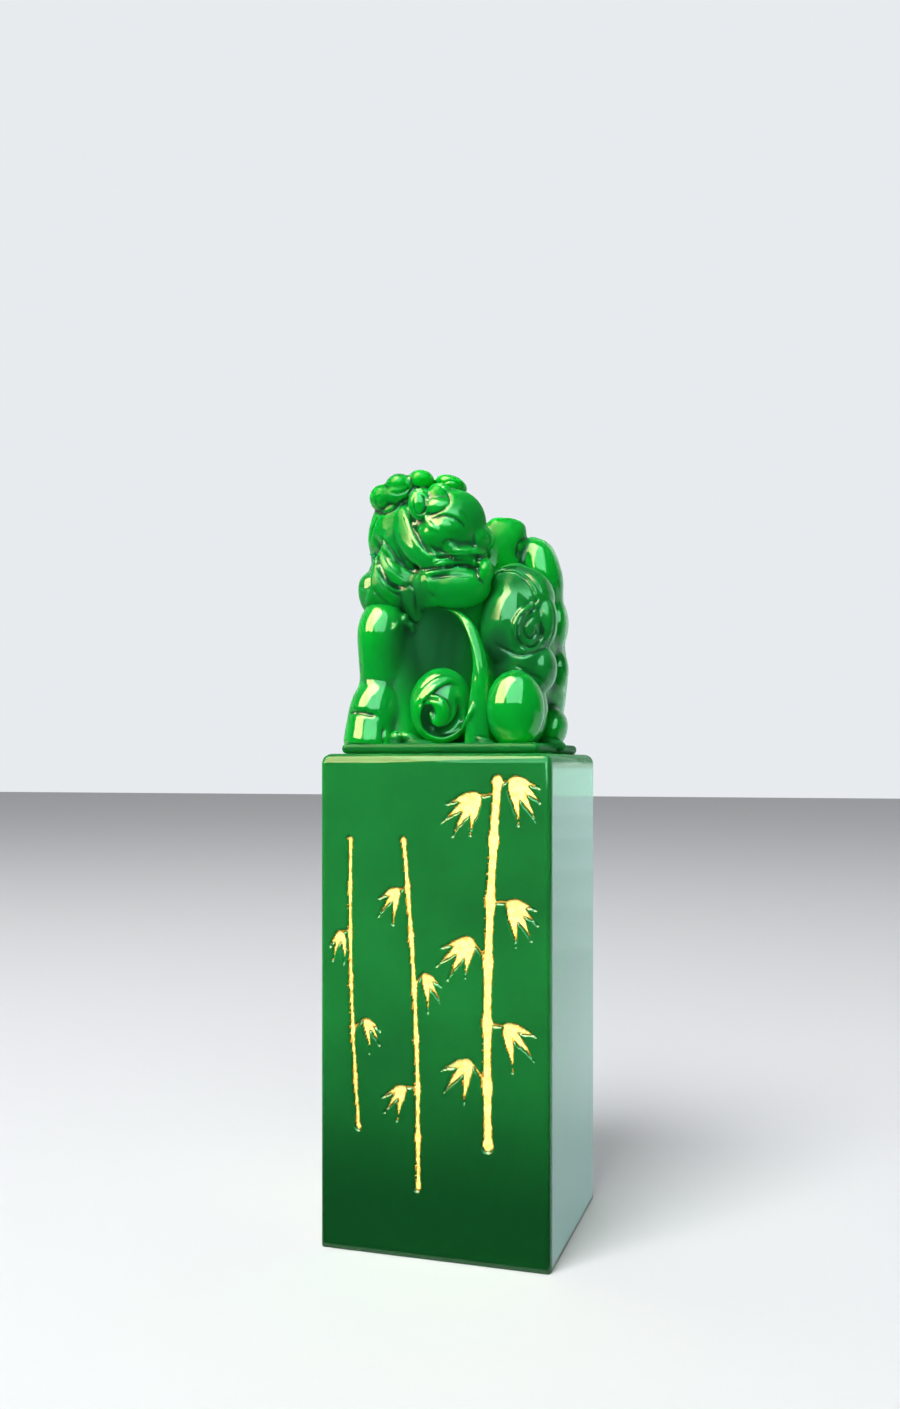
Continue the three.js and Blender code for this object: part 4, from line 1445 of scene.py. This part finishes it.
    def gilding(self, stone: bpy.types.Object, distance: np.ndarray) -> bpy.types.Object:
        """Lays gold in the strokes.

        Args:
            stone: the engraved stone.
            distance: each point's distance from the strokes' edges.

        Returns:
            The gold.
        """
        pick_faces(stone, lambda face: distance[list(face.vertices)].max() < self.gold_reach)
        bpy.ops.mesh.duplicate()
        bpy.ops.mesh.separate(type="SELECTED")
        bpy.ops.object.mode_set(mode="OBJECT")
        gold = next(obj for obj in bpy.context.selected_objects if obj is not stone)
        gold.name = gold.data.name = "gilding"
        modify(gold, "SOLIDIFY", thickness=self.gold_thickness, offset=1)
        return gold

    def build(
        self, stone_look: bpy.types.Material, gold_look: bpy.types.Material, gilt_nodes: Sequence[str]
    ) -> None:
        """Args:
            stone_look: the column's material.
            gold_look: the gold's material.
            gilt_nodes: the nodes of the frame that the gold stands for.
        """
        stone = self.blank()
        self.frame_sides(stone)
        self.cut_printing_face(stone)
        self.divide_front(stone)
        select(stone)
        gold = self.gilding(stone, self.engrave(stone))
        stone.name = stone.data.name = "engraved_column"
        for piece in (stone, gold):
            move_points(piece.data, rows(piece.data, "co") * MM)
            select(piece)
            bpy.ops.object.shade_smooth(keep_sharp_edges=True)
        declare(stone, stone_look, ("seal_column",))
        declare(gold, gold_look, gilt_nodes)


def pick_faces(obj: bpy.types.Object, wanted: Callable[[bpy.types.MeshPolygon], bool]) -> None:
    """Enters edit mode with the wanted faces selected alone.

    Args:
        obj: the mesh object.
        wanted: tells whether a face is wanted.
    """
    select(obj)
    chosen = [bool(wanted(face)) for face in obj.data.polygons]
    bpy.ops.object.mode_set(mode="EDIT")
    bpy.ops.mesh.select_mode(type="FACE")
    bpy.ops.mesh.select_all(action="DESELECT")
    bpy.ops.object.mode_set(mode="OBJECT")
    obj.data.polygons.foreach_set("select", chosen)
    bpy.ops.object.mode_set(mode="EDIT")


# Finishes


def feed(tree: bpy.types.NodeTree, node: bpy.types.Node, inputs: Mapping[str | int, object]) -> None:
    """Sets a node's inputs, or links them to other nodes.

    Args:
        tree: the tree that holds the node.
        node: the node.
        inputs: a value, or another node's output, for each input by its name or number.
    """
    for key, value in inputs.items():
        if isinstance(value, bpy.types.NodeSocket):
            tree.links.new(value, node.inputs[key])
        else:
            node.inputs[key].default_value = value


def add_node(
    tree: bpy.types.NodeTree, kind: str, inputs: Mapping[str | int, object], **settings: object
) -> bpy.types.bpy_prop_collection:
    """Adds a node.

    Args:
        tree: the tree.
        kind: the node's type, without the prefix ShaderNode.
        inputs: a value, or another node's output, for each input by its name or number.
        settings: the node's own settings by name.

    Returns:
        The node's outputs.
    """
    node = tree.nodes.new("ShaderNode" + kind)
    for name, value in settings.items():
        setattr(node, name, value)
    feed(tree, node, inputs)
    return node.outputs


def plain_material(name: str, inputs: Mapping[str, object]) -> bpy.types.Material:
    """Makes a material of one shader.

    Args:
        name: its name.
        inputs: a value for each of the shader's inputs that isn't left as it is.

    Returns:
        The material.
    """
    material = bpy.data.materials.new(name)
    material.use_nodes = True
    feed(material.node_tree, material.node_tree.nodes["Principled BSDF"], inputs)
    return material


@dataclass(frozen=True)
class Mottling:
    """The clouds in the stone, for every stone material."""

    scale: float = 90
    detail: float = 3
    roughness: float = 0.45
    light_to: float = 0.35
    dark_from: float = 0.68

    def group(self) -> bpy.types.ShaderNodeTree:
        """Builds the clouds as a node group.

        Returns:
            A group that takes two colours and gives the mottled colour.
        """
        group = bpy.data.node_groups.new("stone_mottling", "ShaderNodeTree")
        for name, way in (("Light", "INPUT"), ("Dark", "INPUT"), ("Color", "OUTPUT")):
            group.interface.new_socket(name, in_out=way, socket_type="NodeSocketColor")
        given = group.nodes.new("NodeGroupInput").outputs
        clouds = {
            "Vector": add_node(group, "TexCoord", {})["Object"],
            "Scale": self.scale,
            "Detail": self.detail,
            "Roughness": self.roughness,
        }
        cloud = add_node(group, "TexNoise", clouds)["Fac"]
        limits = {"Value": cloud, "From Min": self.light_to, "From Max": self.dark_from}
        share = add_node(group, "MapRange", limits)["Result"]
        colors = {"Factor": share, "A": given["Light"], "B": given["Dark"]}
        mix = add_node(group, "Mix", colors, data_type="RGBA")["Result"]
        feed(group, group.nodes.new("NodeGroupOutput"), {"Color": mix})
        return group


@dataclass(frozen=True)
class JadeFinish:
    """Polished translucent green stone: mottled, under a polish that dull places lack.

    It gets painted shade where its mesh's numbers say so, or, where two heights are given, painted shade
    that grows darker towards the bottom between them.
    """

    name: str
    light: Point
    dark: Point
    shaded: Point
    glow_mm: float = 3.0
    glow: float = 0.8
    painted_shade_heights_mm: Pair | None = None

    def material(self, group: bpy.types.ShaderNodeTree) -> bpy.types.Material:
        """Makes the material.

        Args:
            group: the mottling.

        Returns:
            The material.
        """
        polished = {
            "Coat Roughness": 0.05,
            "Coat IOR": 1.5,
            "Roughness": 0.4,
            "Specular IOR Level": 0,
            "Subsurface Weight": self.glow,
            "Subsurface Radius": (0.25, 1.0, 0.4),
            "Subsurface Scale": self.glow_mm * MM,
        }
        material = plain_material(self.name, polished)
        tree = material.node_tree
        # Painted shade: the column's colour darkens from the upper height down to the lower one.
        if self.painted_shade_heights_mm:
            coords = add_node(tree, "TexCoord", {})
            split = add_node(tree, "SeparateXYZ", {"Vector": coords["Object"]})
            low, high = self.painted_shade_heights_mm
            fall = {
                "Value": split["Z"],
                "From Min": low * MM,
                "From Max": high * MM,
                "To Min": 1,
                "To Max": 0,
            }
            share = add_node(tree, "MapRange", fall, interpolation_type="SMOOTHSTEP")["Result"]
        else:
            # Painted shade from the mesh's hollows and ovals darkens the colour towards the shaded
            # colour.
            share = add_node(tree, "Attribute", {}, attribute_name="tone")["Fac"]
        stone = {"Light": (*self.light, 1), "Dark": (*self.dark, 1)}
        mottling = add_node(tree, "Group", stone, node_tree=group)
        colors = {"Factor": share, "A": mottling["Color"], "B": (*self.shaded, 1)}
        shade = add_node(tree, "Mix", colors, data_type="RGBA")
        dull = add_node(tree, "Attribute", {}, attribute_name="dull")
        polish = add_node(tree, "Math", {0: 1, 1: dull["Fac"]}, operation="SUBTRACT")
        shader = tree.nodes["Principled BSDF"]
        feed(tree, shader, {"Base Color": shade["Result"], "Coat Weight": polish["Value"]})
        return material


@dataclass(frozen=True)
class GiltFinish:
    """Gold leaf in the cut strokes: cream in the middle and brown along the edges."""

    cream: tuple[float, Point] = (0.45, (1.0, 0.87, 0.34))
    yellow: tuple[float, Point] = (0.72, (1.0, 0.74, 0.16))
    brown: tuple[float, Point] = (1.0, (0.62, 0.27, 0.015))
    middle_mm: float = -0.22
    edge_mm: float = 0.04
    grit: float = 1.1
    grit_scale: float = 2200

    def material(self) -> bpy.types.Material:
        """Makes the material.

        Returns:
            The material.
        """
        material = plain_material("gilding", {"Metallic": 0.15, "Roughness": 0.5})
        tree = material.node_tree
        distance = add_node(tree, "Attribute", {}, attribute_name="distance")
        reach = {"Value": distance["Fac"], "From Min": self.middle_mm, "From Max": self.edge_mm}
        spread = add_node(tree, "MapRange", reach)
        coords = add_node(tree, "TexCoord", {})
        look = {"Vector": coords["Object"], "Scale": self.grit_scale, "Detail": 3}
        grit = add_node(tree, "TexNoise", look)
        sum_of = {0: grit["Fac"], 1: self.grit, 2: spread["Result"]}
        uneven = add_node(tree, "Math", sum_of, operation="MULTIPLY_ADD")
        ramp = add_node(tree, "ValToRGB", {"Fac": uneven["Value"]})
        stops = ramp["Color"].node.color_ramp.elements
        stops.new(self.yellow[0])
        for stop, (place, color) in zip(stops, (self.cream, self.yellow, self.brown)):
            stop.position = place
            stop.color = (*color, 1)
        feed(tree, tree.nodes["Principled BSDF"], {"Base Color": ramp["Color"]})
        return material


# Floor and light


class LampUse(Enum):
    """What a lamp is for."""

    LIGHT = "light"
    MIRROR = "mirror"


@dataclass(frozen=True)
class Lamp:
    """A rectangular lamp: its size in metres, and its brightness, where 1 is white.

    Its stand is its turn to the right of the camera and its rise as seen from the knob, in degrees,
    and its distance in metres.
    """

    name: str
    size: Pair
    radiance: float
    color: Point
    use: LampUse
    stand: Point = (0, 0, 0)

    def light(self, at: Vector, aim: Vector) -> None:
        """Puts the lamp into the scene.

        Args:
            at: its place.
            aim: the direction that it faces.
        """
        bpy.ops.object.light_add(type="AREA", location=at)
        lamp = bpy.context.object
        lamp.name = self.name
        lamp.rotation_mode = "QUATERNION"
        lamp.rotation_quaternion = aim.to_track_quat("-Z", "Y")
        lamp.data.shape = "RECTANGLE"
        lamp.data.size, lamp.data.size_y = self.size
        lamp.data.energy = self.radiance * math.pi * self.size[0] * self.size[1]
        lamp.data.color = self.color
        lamp.visible_camera = False
        lamp.visible_diffuse = self.use is LampUse.LIGHT
        lamp.visible_glossy = self.use is LampUse.MIRROR


LAMPS = (
    Lamp("key", (0.34, 0.34), 18, (1, 1, 1), LampUse.LIGHT, (-35, 52, 0.7)),
    Lamp("front_fill", (1, 1), 1.0, (1, 1, 1), LampUse.LIGHT, (-8, 20, 1.0)),
    Lamp("cool_panel", (0.665, 0.86), 9.5, (0.36, 1, 0.6), LampUse.MIRROR, (-5, 48, 0.6)),
    Lamp("warm_panel", (0.5, 0.86), 19, (1, 0.85, 0.42), LampUse.MIRROR, (-60, 48, 0.6)),
    *(
        Lamp("side_panel", (away, away), 0.11, (0.85, 1, 1), LampUse.MIRROR, (128, 8, away))
        for away in (0.2, 0.3, 0.45, 0.7, 1.1)
    ),
)


@dataclass(frozen=True)
class Studio:
    """A pale floor, a pale backdrop, soft lamps, and the panels that the polish mirrors."""

    floor_size: float = 4
    floor_color: Point = (0.6, 0.61, 0.62)
    floor_lift: float = 0.3
    card_color: Point = (0.01, 0.02, 0.015)
    card_height: float = 0.0005
    air_color: Point = (0.8, 0.83, 0.86)
    mirror_color: Point = (0.5, 0.85, 0.62)
    far_light: float = 0.85
    near_light: float = 0.03
    light_from: float = -0.1
    light_to: float = 0.9
    knob_middle: float = 0.065
    floor_panel_size: float = 20
    floor_panel_height: float = 0.0006

    def floor(self) -> None:
        """Lays the floor."""
        select()
        bpy.ops.mesh.primitive_plane_add(size=self.floor_size, location=(0, 0, 0))
        floor = bpy.context.object
        floor.name = "floor"
        paint = {
            "Base Color": (*self.floor_color, 1),
            "Roughness": 0.9,
            "Specular IOR Level": 0,
            "Emission Color": (*self.floor_color, 1),
            "Emission Strength": self.floor_lift,
        }
        floor.data.materials.append(plain_material("floor_paint", paint))
        floor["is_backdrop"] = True

    def dark_card(self) -> None:
        """Lays the dark card that only the polish mirrors, in front of the column."""
        select()
        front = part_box("seal_column")[0][1] - self.floor_size / 4
        bpy.ops.mesh.primitive_plane_add(size=1, location=(0, front, self.card_height))
        card = bpy.context.object
        card.name = "dark_card"
        card.scale = (self.floor_size, self.floor_size / 2, 1)
        card.visible_camera = card.visible_diffuse = False
        card.visible_shadow = card.visible_transmission = False
        paint = {"Base Color": (*self.card_color, 1), "Specular IOR Level": 0}
        card.data.materials.append(plain_material("card_black", paint))
        merge([card])
        card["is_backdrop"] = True

    def lamps(self) -> None:
        """Lights the knob from all its lamps, and lays the panel beside the column on the floor."""
        middle = Vector((0, 0, self.knob_middle))
        for lamp in LAMPS:
            turn, rise = math.radians(lamp.stand[0]), math.radians(lamp.stand[1])
            level = VIEW.right * math.sin(turn) - VIEW.away * math.cos(turn)
            offset = level * math.cos(rise) + Vector((0, 0, math.sin(rise)))
            at = middle + offset * lamp.stand[2]
            lamp.light(at, middle - at)
        low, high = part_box("seal_column")
        size = self.floor_panel_size
        beside = Vector((high[0] + size / 2, low[1] + size / 2, self.floor_panel_height))
        panel = Lamp("floor_panel", (size, size), 0.45, (0.5, 1, 1), LampUse.MIRROR)
        panel.light(beside, Vector((0, 0, 1)))

    def room(self) -> None:
        """Sets the world: bright behind the seal, and dim towards the camera."""
        world = bpy.data.worlds.new("room")
        bpy.context.scene.world = world
        world.use_nodes = True
        tree = world.node_tree
        coords = add_node(tree, "TexCoord", {})
        ways = {0: coords["Generated"], 1: VIEW.away}
        facing = add_node(tree, "VectorMath", ways, operation="DOT_PRODUCT")
        limits = {
            "Value": facing["Value"],
            "From Min": self.light_from,
            "From Max": self.light_to,
            "To Min": self.near_light,
            "To Max": self.far_light,
        }
        fall = add_node(tree, "MapRange", limits, interpolation_type="SMOOTHSTEP")
        path = add_node(tree, "LightPath", {})
        either = {0: fall["Result"], 1: path["Is Camera Ray"]}
        seen = add_node(tree, "Math", either, operation="MAXIMUM")
        colors = {
            "Factor": path["Is Glossy Ray"],
            "A": (*self.air_color, 1),
            "B": (*self.mirror_color, 1),
        }
        tint = add_node(tree, "Mix", colors, data_type="RGBA")
        feed(tree, tree.nodes["Background"], {"Color": tint["Result"], "Strength": seen["Value"]})
        bpy.context.scene.view_settings.view_transform = "Standard"

    def build(self) -> None:
        """Builds the floor, the card, the lamps and the world."""
        self.floor()
        self.dark_card()
        self.lamps()
        self.room()


# The knob's third colour is the one that painted shade darkens it towards.
KNOB_JADE = JadeFinish("knob_jade", (0.001, 0.4, 0.02), (0.003, 0.27, 0.03), (0.01, 0.1, 0.03))
COLUMN_JADE = JadeFinish(
    "column_jade",
    (0.012, 0.2, 0.035),
    (0.01, 0.15, 0.028),
    (0.004, 0.06, 0.012),
    glow_mm=2,
    glow=0.4,
    # painted shade: darker below 27 mm, at its darkest below 4 mm
    painted_shade_heights_mm=(4, 27),
)


def main() -> list[list[float]]:
    """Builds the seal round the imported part.

    Returns:
        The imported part's box, as its lowest and highest corners.
    """
    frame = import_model()
    cad_box = [list(corner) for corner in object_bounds()]
    VIEW.place_camera()
    Studio().build()
    group = Mottling().group()
    Knob(KNOB_JADE.material(group)).build()
    low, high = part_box("seal_column")
    column = Column((high[0] - low[0]) / MM, (high[2] - low[2]) / MM)
    gilt_nodes = [name for name in frame["nodes"] if name.startswith("gilt")]
    column.build(COLUMN_JADE.material(group), GiltFinish().material(), gilt_nodes)
    return cad_box


if __name__ == "__main__":
    box = main()
